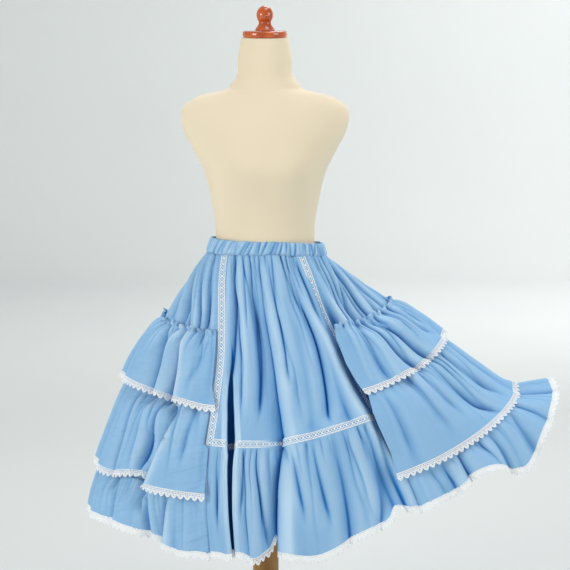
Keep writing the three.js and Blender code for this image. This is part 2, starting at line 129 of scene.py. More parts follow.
# Folds, listed one by one. The first three columns place the trough across its section, 0 to 1, at the
# fold's start, middle and end; then where it starts and ends down the cloth, its half width to the
# left and right, its depth, and how far its lips close over it.
FRONT_FOLDS = [
    (0.178, 0.135, 0.100, 8, 262, 15, 9, 14, 1),
    (0.273, 0.262, 0.250, 4, 130, 6, 5, 8, 1),
    (0.376, 0.370, 0.345, 6, 330, 15, 9, 14, 1),
    (0.486, 0.462, 0.507, 6, 440, 66, 7, 19, 3),
    (0.620, 0.575, 0.548, 6, 260, 12, 5, 10, 2),
    (0.725, 0.745, 0.765, 2, 100, 7, 5, 10, 1),
    (0.788, 0.812, 0.742, 2, 370, 12, 9, 15, 2),
    (0.895, 0.935, 0.930, 2, 120, 6, 6, 10, 1),
    (0.690, 0.660, 0.640, 150, 412, 24, 24, 9, 0),
    (0.860, 0.850, 0.840, 170, 412, 20, 16, 10, 0),
    (0.508, 0.455, 0.425, 400, 660, 32, 5, 34, 9),
    (0.729, 0.722, 0.697, 432, 660, 14, 18, 14, 3),
    (0.862, 0.880, 0.828, 424, 640, 12, 16, 12, 2),
    (0.905, 0.906, 0.900, 426, 640, 10, 14, 13, 0),
    (0.955, 0.958, 0.945, 424, 660, 12, 16, 12, 1),
    (0.251, 0.240, 0.221, 425, 540, 6, 6, 8, 0),
    (0.338, 0.350, 0.371, 425, 620, 10, 10, 10, 0),
    (0.531, 0.533, 0.540, 425, 540, 8, 6, 9, 0),
    (0.629, 0.629, 0.639, 425, 560, 9, 8, 10, 0),
    (0.085, 0.076, 0.068, 425, 560, 7, 7, 7, 0),
]
# Deep narrow folds: places down the cloth, then across it, the half width and the depth at each.
FRONT_SLOTS = [
    (
        (120, 170, 258, 327, 370, 400, 418, 440, 520, 660),
        (0.088, 0.087, 0.095, 0.113, 0.132, 0.148, 0.154, 0.161, 0.160, 0.158),
        (1.5, 2.5, 5.5, 8.5, 10.0, 11.0, 11.0, 8.0, 6.0, 4.0),
        (0, 12, 34, 50, 60, 62, 62, 60, 55, 45),
    ),
]
# How far their walls lean to the left for each millimetre of depth.
SLOT_LEAN = 0.2
SIDE_FOLDS = [
    (0.845, 0.915, 0.922, 2, 340, 12, 8, 36, 7),
    (0.812, 0.866, 0.890, 40, 340, 16, 9, 22, 4),
    (0.800, 0.797, 0.790, 40, 200, 13, 10, 13, 1),
    (0.892, 0.935, 0.945, 8, 185, 9, 7, 12, 2),
    (0.945, 0.968, 0.965, 2, 180, 8, 6, 12, 1),
    (0.068, 0.052, 0.043, 6, 190, 11, 8, 18, 3),
    (0.140, 0.082, 0.065, 20, 190, 11, 7, 15, 2),
    (0.216, 0.148, 0.112, 2, 190, 13, 9, 20, 4),
    (0.028, 0.038, 0.045, 2, 60, 6, 6, 8, 0),
]
UPPER_FOLDS = [
    (0.925, 0.936, 0.941, 176, 360, 28, 7, 32, 9),
    (0.892, 0.888, 0.893, 178, 345, 24, 15, 24, 3),
    (0.980, 0.970, 0.958, 184, 290, 14, 12, 9, 0),
    (0.028, 0.030, 0.033, 190, 330, 15, 12, 12, 1),
    (0.060, 0.064, 0.078, 184, 335, 16, 9, 21, 4),
    (0.080, 0.096, 0.110, 184, 335, 22, 10, 28, 5),
    (0.133, 0.148, 0.165, 178, 300, 18, 10, 14, 2),
]
MIDDLE_FOLDS = [
    (0.952, 0.937, 0.918, 340, 560, 34, 7, 42, 16),
    (0.860, 0.860, 0.862, 350, 540, 18, 13, 28, 3),
    (0.915, 0.912, 0.905, 350, 510, 10, 12, 22, 3),
    (0.975, 0.972, 0.970, 340, 450, 12, 10, 12, 0),
    (0.013, 0.013, 0.013, 370, 500, 14, 12, 8, 0),
    (0.048, 0.050, 0.053, 345, 480, 20, 14, 8, 1),
    (0.068, 0.070, 0.075, 345, 460, 18, 12, 11, 1),
    (0.095, 0.098, 0.112, 345, 500, 26, 12, 18, 3),
    (0.133, 0.141, 0.150, 345, 480, 26, 12, 14, 2),
]
LOWER_FOLDS = [
    (0.958, 0.952, 0.947, 525, 660, 30, 7, 40, 14),
    (0.872, 0.871, 0.869, 525, 640, 20, 16, 20, 1),
    (0.927, 0.925, 0.924, 525, 660, 16, 16, 20, 1),
    (0.966, 0.965, 0.961, 540, 660, 18, 18, 9, 0),
    (0.020, 0.020, 0.020, 540, 660, 14, 14, 13, 0),
    (0.031, 0.029, 0.026, 540, 660, 14, 14, 15, 0),
    (0.046, 0.042, 0.040, 530, 665, 10, 16, 36, 12),
    (0.081, 0.079, 0.075, 540, 665, 16, 16, 22, 2),
    (0.120, 0.112, 0.118, 545, 660, 20, 16, 20, 2),
]

# How the waist's creases swing on the side section: where they start, and how far they have moved
# across it at the foot of the yoke.
SWING = np.array(
    [
        (0, 0),
        (0.07, -0.025),
        (0.14, -0.075),
        (0.216, -0.104),
        (0.35, -0.07),
        (0.60, 0),
        (0.70, 0.04),
        (0.83, 0.078),
        (0.90, 0.05),
        (0.95, 0.02),
        (1, 0),
    ]
)

# Rises and droops of a hem: where across its section, half widths to the left and right, how far up.
UPPER_SHIFTS = [
    (0.060, 0.080, 0.070, -11),
    (0.985, 0.050, 0.050, -11),
]
MIDDLE_SHIFTS = [
    (0.910, 0.035, 0.008, 25),
    (0.060, 0.080, 0.070, -4),
]
LOWER_SHIFTS = [
    (0.043, 0.006, 0.017, 16),
    (0.106, 0.026, 0.050, -50),
    (0.094, 0.032, 0.016, -34),
    (0.880, 0.050, 0.030, 10),
    (0.925, 0.030, 0.012, 4),
    (0.965, 0.018, 0.018, -18),
]
FRONT_SHIFTS = [
    (0.402, 0.018, 0.016, 30),
    (0.905, 0.018, 0.055, 24),
    (0.560, 0.160, 0.150, -34),
    (0.290, 0.090, 0.070, -30),
    (0.120, 0.050, 0.080, -14),
]
# The same at the right and left front seams: how far up, and how far from the seam it reaches, in mm.
SEAM_SHIFTS = [
    (5, 50),
    (-22, 60),
]


# ---- shape ---------------------------------------------------------------------------------


def millimetres(metres):
    """A length in millimetres, to the nearest thousandth."""
    return round(metres / MM, 3)


def ease(x):
    """0 below 0, 1 above 1, and smooth between."""
    t = np.clip(x, 0, 1)
    return t * t * (3 - 2 * t)


def soft_floor(x, floor, soft=0.8):
    """x, but never below the floor, with a soft turn."""
    return floor + soft * np.logaddexp(0, (x - floor) / soft)


def through(rows, column, x):
    """Smooth curve through one column of a table whose first column is the distance."""
    knots, values = rows[:, 0], rows[:, column]
    gap = np.diff(knots)
    rate = np.diff(values) / gap
    slope = np.empty(len(knots))
    slope[1:-1] = (rate[1:] * gap[:-1] + rate[:-1] * gap[1:]) / (gap[:-1] + gap[1:])
    slope[0], slope[-1] = rate[0], rate[-1]
    x = np.asarray(x, float)
    i = np.clip(np.searchsorted(knots, x, side="right") - 1, 0, len(gap) - 1)
    t = (x - knots[i]) / gap[i]
    square, cube = t * t, t * t * t
    start, end = values[i], values[i + 1]
    pull = (cube - 2 * square + t) * slope[i] + (cube - square) * slope[i + 1]
    return (2 * cube - 3 * square + 1) * start + (3 * square - 2 * cube) * end + pull * gap[i]


def ring(name, down):
    """One column of the rings at a distance down the cloth."""
    return through(RINGS, RING_COLUMNS.index(name), down)


def skirt_point(angle, down):
    """Point on the smooth skirt, at an angle in degrees and a distance down the cloth."""
    c, s = np.cos(np.radians(angle)), np.sin(np.radians(angle))
    x = np.where(c > 0, ring("right", down), ring("left", down)) * c
    y = np.where(s < 0, ring("front", down), ring("back", down)) * s
    z_across = np.where(c > 0, ring("z_right", down), ring("z_left", down))
    z_along = np.where(s < 0, ring("z_front", down), ring("z_back", down))
    pulled = ring("pull", down) * np.exp(-(((angle - PULL_ANGLE) / PULL_HALF) ** 2))
    return np.stack([x, y, z_across * c * c + z_along * s * s + pulled], -1)


def section_point(section, across, down):
    """Point on the front or the side section; the side runs from the right seam round the back."""
    left, right = ring("left_seam", down), ring("right_seam", down)
    if section == "front":
        return skirt_point(left + (right - left) * across, down)
    return skirt_point(right + (left + 360 - right) * across, down)


def section_span(section, down):
    """Length of a section round the skirt in millimetres, at each level down the cloth."""
    levels = np.asarray(down, float)[..., None]
    steps = np.diff(section_point(section, np.linspace(0, 1, 49), levels), axis=-2)
    return np.linalg.norm(steps, axis=-1).sum(-1)


def valley(t):
    """Profile of a crease: sharp but soft at its bottom, with long flanks."""
    return np.exp(-1.35 * (np.sqrt(t * t + 0.12) - 0.346))


def spread(section, columns):
    """Places across a section; the side's are twice as close toward the front as at the back."""
    if section == "front":
        return np.linspace(0, 1, columns + 1)
    place = np.linspace(0, 1, 2001)
    near = 1 - ease((np.minimum(place, 1 - place) - 0.17) / 0.08)
    reached = np.concatenate([[0], np.cumsum(1 + (near[1:] + near[:-1]) / 2)])
    return np.interp(np.linspace(0, reached[-1], columns + 1), reached, place)


def unit(vectors):
    """The same directions with a length of 1."""
    return vectors / np.maximum(np.linalg.norm(vectors, axis=-1, keepdims=True), 1e-9)


class Patch:
    """A sheet on one section of the skirt: rows run down the cloth and columns across it."""

    def __init__(self, section, downs, columns, start=0.3, end=0.3):
        down = np.asarray(downs, float)[:, None]
        span = section_span(section, downs)[:, None]
        first = np.broadcast_to(start, (len(downs),))[:, None] / span
        last = 1 - np.broadcast_to(end, (len(downs),))[:, None] / span
        self.section = section
        self.across = first + (last - first) * spread(section, columns)[None]
        self.span = np.broadcast_to(span, self.across.shape)
        self.down = np.broadcast_to(down, self.across.shape)
        self.from_start = self.across * self.span
        self.from_end = (1 - self.across) * self.span
        self.from_ends = np.minimum(self.from_start, self.from_end)
        self.inward = np.zeros(self.across.shape)
        self.sideways = np.zeros(self.across.shape)
        self.off = np.zeros(self.across.shape)
        self.lift = np.zeros(self.across.shape)

    def fade(self, start, over):
        """1 down to the level 'start', then dying out over as many millimetres as 'over' says."""
        return 1 - ease((self.down - start) / over)

    def spring(self):
        """The cloth springs out a little below the waistband."""
        self.off += SPRING * np.exp(-self.down / 14)

    def fold(self, folds, strength):
        """Adds the folds of a table; they die out beside the lace strips."""
        quiet = ease((self.from_ends - LACE_CALM) / 14)
        for top, middle, foot, start, stop, left, right, deep, tuck in folds:
            along = np.clip((self.down - start) / (stop - start), 0, 1)
            at = top * (1 - along) * (1 - 2 * along) + foot * along * (2 * along - 1)
            at = at + 4 * middle * along * (1 - along)
            offset = (self.across - at) * self.span
            wide = 0.45 + 0.55 * ease((self.down - start) / 110)
            t = offset / (np.where(offset < 0, left, right) * wide)
            bell = valley(t)
            fade = ease((self.down - start + 14) / 34) * ease((stop + 36 - self.down) / 66)
            grow = strength * quiet * fade * (0.3 + 0.7 * ease((self.down - start) / 140))
            self.inward += 1.35 * deep * grow * bell
            self.sideways -= (tuck + 0.08 * deep) * grow * np.where(t < 0, 0.8, 2.8) * t * bell

    def slot(self, folds, strength):
        """Adds narrow folds with steep walls that lean to the left as they go in."""
        for down, at, half, deep in folds:
            at, half, deep = (np.interp(self.down, down, values) for values in (at, half, deep))
            t = (self.across - at) * self.span / half
            sunk = strength * deep * np.exp(-(t**8))
            self.sideways -= SLOT_LEAN * np.maximum(sunk - self.inward, 0)
            self.inward = np.maximum(self.inward, sunk)

    def frill(self, seam, heading, seed, high):
        """Small ripples of a heading above its gathering seam."""
        rng = np.random.default_rng(seed)
        place = self.across * self.span
        knots = np.arange(place.min() - 8, place.max() + 8, 4.2)
        up = ease((seam + 3 - self.down) / heading)
        self.off += high * up * np.interp(place, knots, rng.uniform(-1, 1, len(knots)))
        self.lift += 0.7 * high * up * np.interp(place, knots, rng.uniform(-1, 1, len(knots)))

    def flute(self):
        """Soft flutes round the hidden sides and back."""
        if self.section != "side":
            return
        inside = ease((self.across - 0.15) / 0.06) * ease((0.85 - self.across) / 0.06)
        turn = 2 * np.pi * self.across
        wave = 0.6 * np.cos(19 * turn + 0.6) + 0.4 * np.cos(13 * turn + 2.1)
        self.inward -= FLUTE_DEPTH * inside * ease(self.down / 400) * wave

    def recess(self):
        """The cloth turned in along the right seam, deepest just past the lace."""
        past = self.from_start if self.section == "side" else -self.from_end
        deep = RECESS_DEPTH * ease((self.down - 20) / 170) * ease((540 - self.down) / 130)
        self.inward += deep * ease((past + 34) / 46) * (1 - ease((past - 14) / 14))

    def gather(self, seam, seed, spacing, longest, deep, strength=1.0, root=0.35):
        """Creases that spring from a gathered seam and die out away from it.

        'root' is the share of their depth that they have at the seam itself.
        """
        rng = np.random.default_rng(seed)
        away = np.abs(self.down - seam)
        count = max(3, int(section_span(self.section, seam) / spacing))
        at = (np.arange(count) + 0.5 + rng.uniform(-0.46, 0.46, count)) / count
        length = longest * (0.15 + 0.85 * rng.random(count))
        size = deep * (0.2 + 1.5 * rng.random(count) ** 2.2)
        lean = rng.uniform(-0.05, 0.05, count)
        turn = rng.uniform(0, 6.28, count)
        gentle = rng.uniform(0.30, 0.52, count)
        steep = rng.uniform(0.10, 0.18, count)
        broad = 0.75 + 0.6 * size / deep
        pitch = self.span / count
        reach = 2.6 * pitch.max() + 0.05 * longest + 3
        quiet = strength * ease((self.from_ends - LACE_CALM) / 10)
        total = np.zeros(self.across.shape)
        swings = self.section == "side" and seam == 0
        swing = np.interp(at, *SWING.T) if swings else np.zeros(count)
        swung = 1 - (1 - np.clip(self.down / YOKE_FOOT, 0, 1)) ** 2
        for i in range(count):
            from_crease = (self.across - at[i] - swing[i] * swung) * self.span
            near = np.abs(from_crease).min(0) < reach
            if not near.any():
                continue
            d = away[:, near]
            offset = from_crease[:, near] - lean[i] * d - 1.1 * np.sin(d / 19 + turn[i]) * ease(d / 25)
            t = offset / (broad[i] * pitch[:, near] * np.where(offset < 0, gentle[i], steep[i]))
            rise = root + (1 - root) * (1 - np.exp(-d / 22))
            crease = size[i] * rise * valley(t) * np.exp(-((d / length[i]) ** 2))
            crease = crease * (pitch[:, near] / pitch.min()) ** 0.5
            total[:, near] += crease
            self.sideways[:, near] -= quiet[:, near] * 0.8 * crease * np.maximum(t, 0)
        typical = 0.3 * deep * (root + (1 - root) * (1 - np.exp(-away / 22)))
        typical = typical * np.exp(-((away / longest) ** 2))
        self.off -= (total - typical) * quiet

    def crumple(self, seed, size, high, calm=1.0, long=1.0):
        """Faint unevenness, so that no stretch of cloth is perfectly smooth."""
        rng = np.random.default_rng(seed)
        u, v = self.across * self.span.mean() / size, self.down / (size * long)
        quiet = calm * ease((self.from_ends - LACE_CALM) / 40)
        for wave in range(9):
            a, b, c = rng.uniform(-1.3, 1.3), rng.uniform(-0.8, 0.8), rng.uniform(0, 6.28)
            self.off += quiet * high / 3 * np.sin(2 * np.pi * (a * u + b * v) / (1 + wave / 5) + c)

    def cavity(self):
        """How deep each place lies below the cloth around it, 1 at most, or -1 on a sharp crest; it sets
        the painted shade in the cotton's folds and the painted highlight on its ridges.
        """
        height = self.off - self.inward
        step = np.gradient(self.across * self.span, axis=1).mean()
        found = -1
        for reach, full, most in ((12, 5.5, 1.0), (34, 14, 0.75)):
            half = max(1, int(round(reach / step)))
            padded = np.pad(height, ((0, 0), (half, half)), mode="edge")
            sums = np.cumsum(np.pad(padded, ((0, 0), (1, 0))), axis=1)
            mean = (sums[:, 2 * half + 1 :] - sums[:, : -2 * half - 1]) / (2 * half + 1)
            found = np.maximum(found, most * np.clip((mean - height) / full, -1, 1))
        return found

    def shift(self, shifts, start, hem, sewn=True):
        """Raises or droops the hem; where it is sewn its ends move as the seams do."""
        share = np.clip((self.down - start) / (hem - start), 0, 1.2)
        inside = ease(np.minimum(self.across, 1 - self.across) / 0.02) if sewn else 1
        if sewn:
            ends = (self.from_end, self.from_start)
            for away, (rise, reach) in zip(ends if self.section == "front" else ends[::-1], SEAM_SHIFTS):
                self.lift += rise * share * share * np.exp(-((away / reach) ** 2))
        for at, left, right, rise in shifts:
            offset = self.across - at
            t = offset / np.where(offset < 0, left, right)
            self.lift += rise * inside * share * share * np.exp(-t * t)

    def points(self):
        """The sheet's middle surface in millimetres."""
        across, down = self.across, self.down
        point = section_point(self.section, across, down)
        round_ = section_point(self.section, across + 0.002, down)
        round_ = unit(round_ - section_point(self.section, across - 0.002, down))
        fall = section_point(self.section, across, down + 1) - point
        out = unit(np.cross(fall, round_))
        point = point + out * (self.off - self.inward)[..., None]
        point = point + round_ * self.sideways[..., None]
        point[..., 2] += self.lift
        return point


def directions(points):
    """Unit vectors down and out of a grid of points."""
    fall = np.gradient(points, axis=0)
    return unit(fall), unit(np.cross(fall, np.gradient(points, axis=1)))


# ---- meshes --------------------------------------------------------------------------------


def grid_faces(rows, columns, first=0, closed=False, flip=False):
    """Quads of a grid whose vertices are numbered row by row from 'first'."""
    r = np.arange(rows - 1)[:, None]
    c = np.arange(columns if closed else columns - 1)[None]
    after = (c + 1) % columns
    quads = [r * columns + c, (r + 1) * columns + c, (r + 1) * columns + after, r * columns + after]
    faces = np.stack([first + q.ravel() for q in quads], 1)
    return faces[:, ::-1] if flip else faces


def rim_faces(rows, columns, closed=False):
    """Quads that close a wall's edges between its outer and inner grids."""
    inner = rows * columns
    c = np.arange(columns if closed else columns - 1)
    after = (c + 1) % columns
    top, low = c, (rows - 1) * columns + c
    low_after = (rows - 1) * columns + after
    found = [
        np.stack([top, after, inner + after, inner + top], 1),
        np.stack([low, inner + low, inner + low_after, low_after], 1),
    ]
    if not closed:
        r = np.arange(rows - 1) * columns
        end = r + columns - 1
        found.append(np.stack([r, inner + r, inner + r + columns, r + columns], 1))
        found.append(np.stack([end, end + columns, inner + end + columns, inner + end], 1))
    return np.concatenate(found)


def new_mesh(name, points, faces, flat=0, uv=None, deep=None):
    """Mesh from points in millimetres; the last 'flat' faces stay flat shaded.

    'uv' is in millimetres over the cloth, and 'deep' has the value of cavity() at each point; it is kept
    as the 'deep' attribute, from which the cotton takes its painted shade and painted highlight.
    """
    mesh = bpy.data.meshes.new(name)
    mesh.vertices.add(len(points))
    mesh.vertices.foreach_set("co", (points * MM).astype(np.float32).ravel())
    mesh.loops.add(faces.size)
    mesh.loops.foreach_set("vertex_index", faces.astype(np.int32).ravel())
    mesh.polygons.add(len(faces))
    mesh.polygons.foreach_set("loop_start", np.arange(0, faces.size, faces.shape[1], dtype=np.int32))
    smooth = np.ones(len(faces), bool)
    smooth[len(faces) - flat :] = False
    mesh.polygons.foreach_set("use_smooth", smooth)
    if uv is not None:
        layer = mesh.uv_layers.new(name="cloth")
        layer.data.foreach_set("uv", (uv[faces.ravel()] * MM).astype(np.float32).ravel())
    if deep is not None:
        mesh.attributes.new("deep", "FLOAT", "POINT").data.foreach_set("value", deep.astype(np.float32))
    mesh.update(calc_edges=True)
    mesh.validate()
    return mesh


def wall(name, outer, inner, uv, deep, closed=False):
    """Closed wall between two grids of points."""
    rows, columns = outer.shape[:2]
    points = np.concatenate([outer.reshape(-1, 3), inner.reshape(-1, 3)])
    rim = rim_faces(rows, columns, closed)
    faces = [
        grid_faces(rows, columns, 0, closed),
        grid_faces(rows, columns, rows * columns, closed, flip=True),
        rim,
    ]
    uv = np.tile(uv.reshape(-1, 2), (2, 1))
    return new_mesh(name, points, np.concatenate(faces), len(rim), uv, np.tile(deep.ravel(), 2))


def sheet_wall(name, patch, thick):
    """Closed wall of a sheet, with the distances over the cloth as its UV map."""
    points = patch.points()
    out = directions(points)[1] * thick / 2
    uv = np.stack([patch.across * patch.span, patch.down], -1)
    # patch.cavity() gives the cotton's painted shade in the folds and painted highlight on the ridges.
    return wall(name, points + out, points - out, uv, patch.cavity())


def spun(profile, segments):
    """Rings of points about Z from (radius, height) pairs."""
    profile = np.array(profile, float)
    angle = np.linspace(0, 2 * np.pi, segments, endpoint=False)
    x, y = profile[:, :1] * np.cos(angle), profile[:, :1] * np.sin(angle)
    return np.stack([x, y, np.broadcast_to(profile[:, 1:], x.shape)], -1)


def turned(name, profile, segments=96):
    """Solid turned about Z from (radius, height) pairs that start and end on the axis."""
    return capped(name, spun(profile[1:-1], segments))


def capped(name, grid):
    """Closed solid from rings that run round it from the lowest to the highest."""
    rows, columns = grid.shape[:2]
    side = grid_faces(rows, columns, 0, closed=True, flip=True)
    foot, head = rows * columns, rows * columns + 1
    c = np.arange(columns)
    after = (c + 1) % columns
    low = np.stack([np.full(columns, foot), after, c], 1)
    top_row = (rows - 1) * columns
    high = np.stack([np.full(columns, head), top_row + c, top_row + after], 1)
    points = np.concatenate([grid.reshape(-1, 3), [grid[0].mean(0)], [grid[-1].mean(0)]])
    triangles = np.concatenate([side[:, [0, 1, 2]], side[:, [0, 2, 3]], low, high])
    return new_mesh(name, points, triangles)


def cords(name, runs):
    """Flat-backed cords along runs of (points, width, height) in the plane of a trim."""
    points, faces = [], []
    for run, wide, high in runs:
        run = np.array(run, float)
        step = np.gradient(run, axis=0)
        across = unit(np.stack([-step[:, 1], step[:, 0]], -1)) * wide / 2
        first = len(points)
        for (x, y), (ax, ay) in zip(run, across):
            points += [(x - ax, y - ay, 0), (x + ax, y + ay, 0), (x, y, high)]
        for i in range(len(run) - 1):
            a = first + 3 * i
            for p, q in ((0, 1), (1, 2), (2, 0)):
                faces += [(a + p, a + q, a + 3 + q), (a + p, a + 3 + q, a + 3 + p)]
        faces += [(first, first + 2, first + 1)]
        last = first + 3 * (len(run) - 1)
        faces += [(last, last + 1, last + 2)]
    return new_mesh(name, np.array(points), np.array(faces), len(faces))


# ---- geometry nodes ------------------------------------------------------------------------


class Nodes:
    """A node tree under construction."""

    def __init__(self, tree):
        self.tree = tree

    def add(self, kind, choices=None, **sockets):
        """A node with its own choices, and its inputs set or linked by name."""
        node = self.tree.nodes.new(kind)
        for key, value in (choices or {}).items():
            setattr(node, key, value)
        for key, value in sockets.items():
            self.put(node.inputs[key.replace("_", " ")], value)
        return node

    def put(self, socket, value):
        if isinstance(value, Maths):
            value = value.socket
        if isinstance(value, bpy.types.NodeSocket):
            self.tree.links.new(value, socket)
        else:
            socket.default_value = value


def trim_tree():
    """Repeats a flat motif along a guide, bent to the guide's own 'down' and 'out' directions."""
    tree = bpy.data.node_groups.new("trim_along_guide", "GeometryNodeTree")
    sockets = {}
    for name, kind in (
        ("Geometry", "Geometry"),
        ("Guide", "Object"),
        ("Motif", "Object"),
        ("Count", "Int"),
        ("Pitch", "Float"),
        ("Stretch", "Vector"),
        ("Material", "Material"),
    ):
        made = tree.interface.new_socket(name, in_out="INPUT", socket_type="NodeSocket" + kind)
        sockets[name] = made.identifier
    tree.interface.new_socket("Geometry", in_out="OUTPUT", socket_type="NodeSocketGeometry")
    n = Nodes(tree)
    given = n.add("NodeGroupInput").outputs
    guide = n.add("GeometryNodeObjectInfo", Object=given["Guide"])
    curve = n.add("GeometryNodeMeshToCurve", Mesh=guide.outputs["Geometry"]).outputs["Curve"]
    step = n.add("ShaderNodeCombineXYZ", X=given["Pitch"]).outputs["Vector"]
    line = n.add("GeometryNodeMeshLine", Count=given["Count"], Offset=step).outputs["Mesh"]
    motif = n.add("GeometryNodeObjectInfo", Object=given["Motif"]).outputs["Geometry"]
    placed = n.add(
        "GeometryNodeInstanceOnPoints", Points=line, Instance=motif, Scale=given["Stretch"]
    )
    real = n.add("GeometryNodeRealizeInstances", Geometry=placed.outputs["Instances"])
    place = n.add("GeometryNodeInputPosition").outputs["Position"]
    xyz = n.add("ShaderNodeSeparateXYZ", Vector=place).outputs
    found = {}
    for name in ("down", "out"):
        stored = n.add("GeometryNodeInputNamedAttribute", {"data_type": "FLOAT_VECTOR"}, Name=name)
        found[name] = n.add("GeometryNodeSampleCurve", {"data_type": "FLOAT_VECTOR", "mode": "LENGTH"})
        n.put(found[name].inputs["Curves"], curve)
        n.put(found[name].inputs["Value"], stored.outputs["Attribute"])
        n.put(found[name].inputs["Length"], xyz["X"])
    moved = found["down"].outputs["Position"]
    for name, size in (("down", xyz["Y"]), ("out", xyz["Z"])):
        part = n.add("ShaderNodeVectorMath", {"operation": "SCALE"}, Scale=size)
        n.put(part.inputs[0], found[name].outputs["Value"])
        total = n.add("ShaderNodeVectorMath", {"operation": "ADD"})
        n.put(total.inputs[0], moved)
        n.put(total.inputs[1], part.outputs[0])
        moved = total.outputs[0]
    bent = n.add("GeometryNodeSetPosition", Geometry=real.outputs["Geometry"], Position=moved)
    real = n.add("GeometryNodeRealizeInstances", Geometry=bent.outputs["Geometry"])
    done = n.add("GeometryNodeSetMaterial", Geometry=real.outputs["Geometry"], Material=given["Material"])
    n.add("NodeGroupOutput", Geometry=done.outputs["Geometry"])
    return tree, sockets


def guide_object(name, points, down, out):
    """A run of points in millimetres that carries the directions a trim is bent to."""
    mesh = bpy.data.meshes.new(name)
    mesh.from_pydata((points * MM).tolist(), [(i, i + 1) for i in range(len(points) - 1)], [])
    for key, value in (("down", down), ("out", out)):
        layer = mesh.attributes.new(key, "FLOAT_VECTOR", "POINT")
        layer.data.foreach_set("vector", np.ascontiguousarray(value, np.float32).ravel())
    return linked(name, mesh)


def linked(name, mesh):
    obj = bpy.data.objects.new(name, mesh)
    bpy.context.scene.collection.objects.link(obj)
    return obj


def trim(name, guide, motif_mesh, drawn, material, pitch=None):
    """Bakes a trim along (points, down, out) and returns it as a plain mesh object.

    'drawn' is the length of the motif as it is drawn, and 'pitch' the length that it is given.
    """
    points, down, out = guide
    if "trim_along_guide" not in bpy.data.node_groups:
        trim.tree, trim.sockets = trim_tree()
    length = np.linalg.norm(np.diff(points, axis=0), axis=1).sum()
    count = max(1, round(length / (pitch or drawn)))
    fitted = length / count
    path = guide_object(name + "_guide", points, down, out)
    motif = linked(name + "_motif", motif_mesh)
    obj = linked(name, bpy.data.meshes.new(name))
    made = obj.modifiers.new("trim", "NODES")
    made.node_group = trim.tree
    values = {
        "Guide": path,
        "Motif": motif,
        "Count": count,
        "Pitch": fitted * MM,
        "Stretch": (fitted / drawn, 1, 1),
        "Material": material,
    }
    for key, value in values.items():
        made[trim.sockets[key]] = value
    bpy.context.view_layer.update()
    depsgraph = bpy.context.evaluated_depsgraph_get()
    baked = bpy.data.meshes.new_from_object(obj.evaluated_get(depsgraph), depsgraph=depsgraph)
    obj.modifiers.clear()
    obj.data = baked
    baked.name = name
    for helper in (path, motif):
        bpy.data.objects.remove(helper)
    return obj


# ---- materials -----------------------------------------------------------------------------


class Maths:
    """A number socket that Python's own operators work on."""

    def __init__(self, nodes, socket):
        self.nodes = nodes
        self.socket = socket

    def make(self, operation, *values):
        node = self.nodes.add("ShaderNodeMath", {"operation": operation})
        for socket, value in zip(node.inputs, values):
            self.nodes.put(socket, value)
        return Maths(self.nodes, node.outputs[0])

    def __add__(self, other):
        return self.make("ADD", self, other)

    def __sub__(self, other):
        return self.make("SUBTRACT", self, other)

    def __rsub__(self, other):
        return self.make("SUBTRACT", other, self)

    def __mul__(self, other):
        return self.make("MULTIPLY", self, other)

    __radd__ = __add__
    __rmul__ = __mul__

    def sine(self):
        return self.make("SINE", self)

    def clamp(self):
        """The number, held between 0 and 1."""
        held = self.make("ADD", self, 0.0)
        held.socket.node.use_clamp = True
        return held


def surface(name, rough, sheen=0.0, coat=0.0):
    """A Principled material, and the tools to shade it."""
    material = bpy.data.materials.new(name)
    material.use_nodes = True
    nodes = Nodes(material.node_tree)
    main = material.node_tree.nodes["Principled BSDF"]
    main.inputs["Roughness"].default_value = rough
    main.inputs["Sheen Weight"].default_value = sheen
    main.inputs["Sheen Roughness"].default_value = 0.5
    main.inputs["Coat Weight"].default_value = coat
    return material, nodes, main


def linear(*rgb):
    """Linear colour from 0 to 255 sRGB."""
    share = [c / 255 for c in rgb]
    return tuple(c / 12.92 if c <= 0.04045 else ((c + 0.055) / 1.055) ** 2.4 for c in share) + (1,)


def settings(context):
    """The sizes and colours that a user can change."""
    return context.scene.skirt_settings


def blend(nodes, factor, dark, light):
    """A colour between two others."""
    node = nodes.add("ShaderNodeMix", {"data_type": "RGBA"})
    nodes.put(node.inputs["Factor"], factor)
    nodes.put(node.inputs[6], dark)
    nodes.put(node.inputs[7], light)
    return node.outputs[2]


def position(nodes):
    """Place on the object, in metres."""
    return nodes.add("ShaderNodeTexCoord").outputs["Object"]


def vector(nodes, x, y, z=0.0):
    return nodes.add("ShaderNodeCombineXYZ", X=x, Y=y, Z=z).outputs["Vector"]


def noise(nodes, place, scale=1.0, detail=2.0):
    node = nodes.add("ShaderNodeTexNoise", Vector=place, Scale=scale, Detail=detail)
    return Maths(nodes, node.outputs[0])


def bump(nodes, main, height, strength, distance):
    node = nodes.add("ShaderNodeBump", Strength=strength, Distance=distance, Height=height)
    nodes.put(main.inputs["Normal"], node.outputs["Normal"])


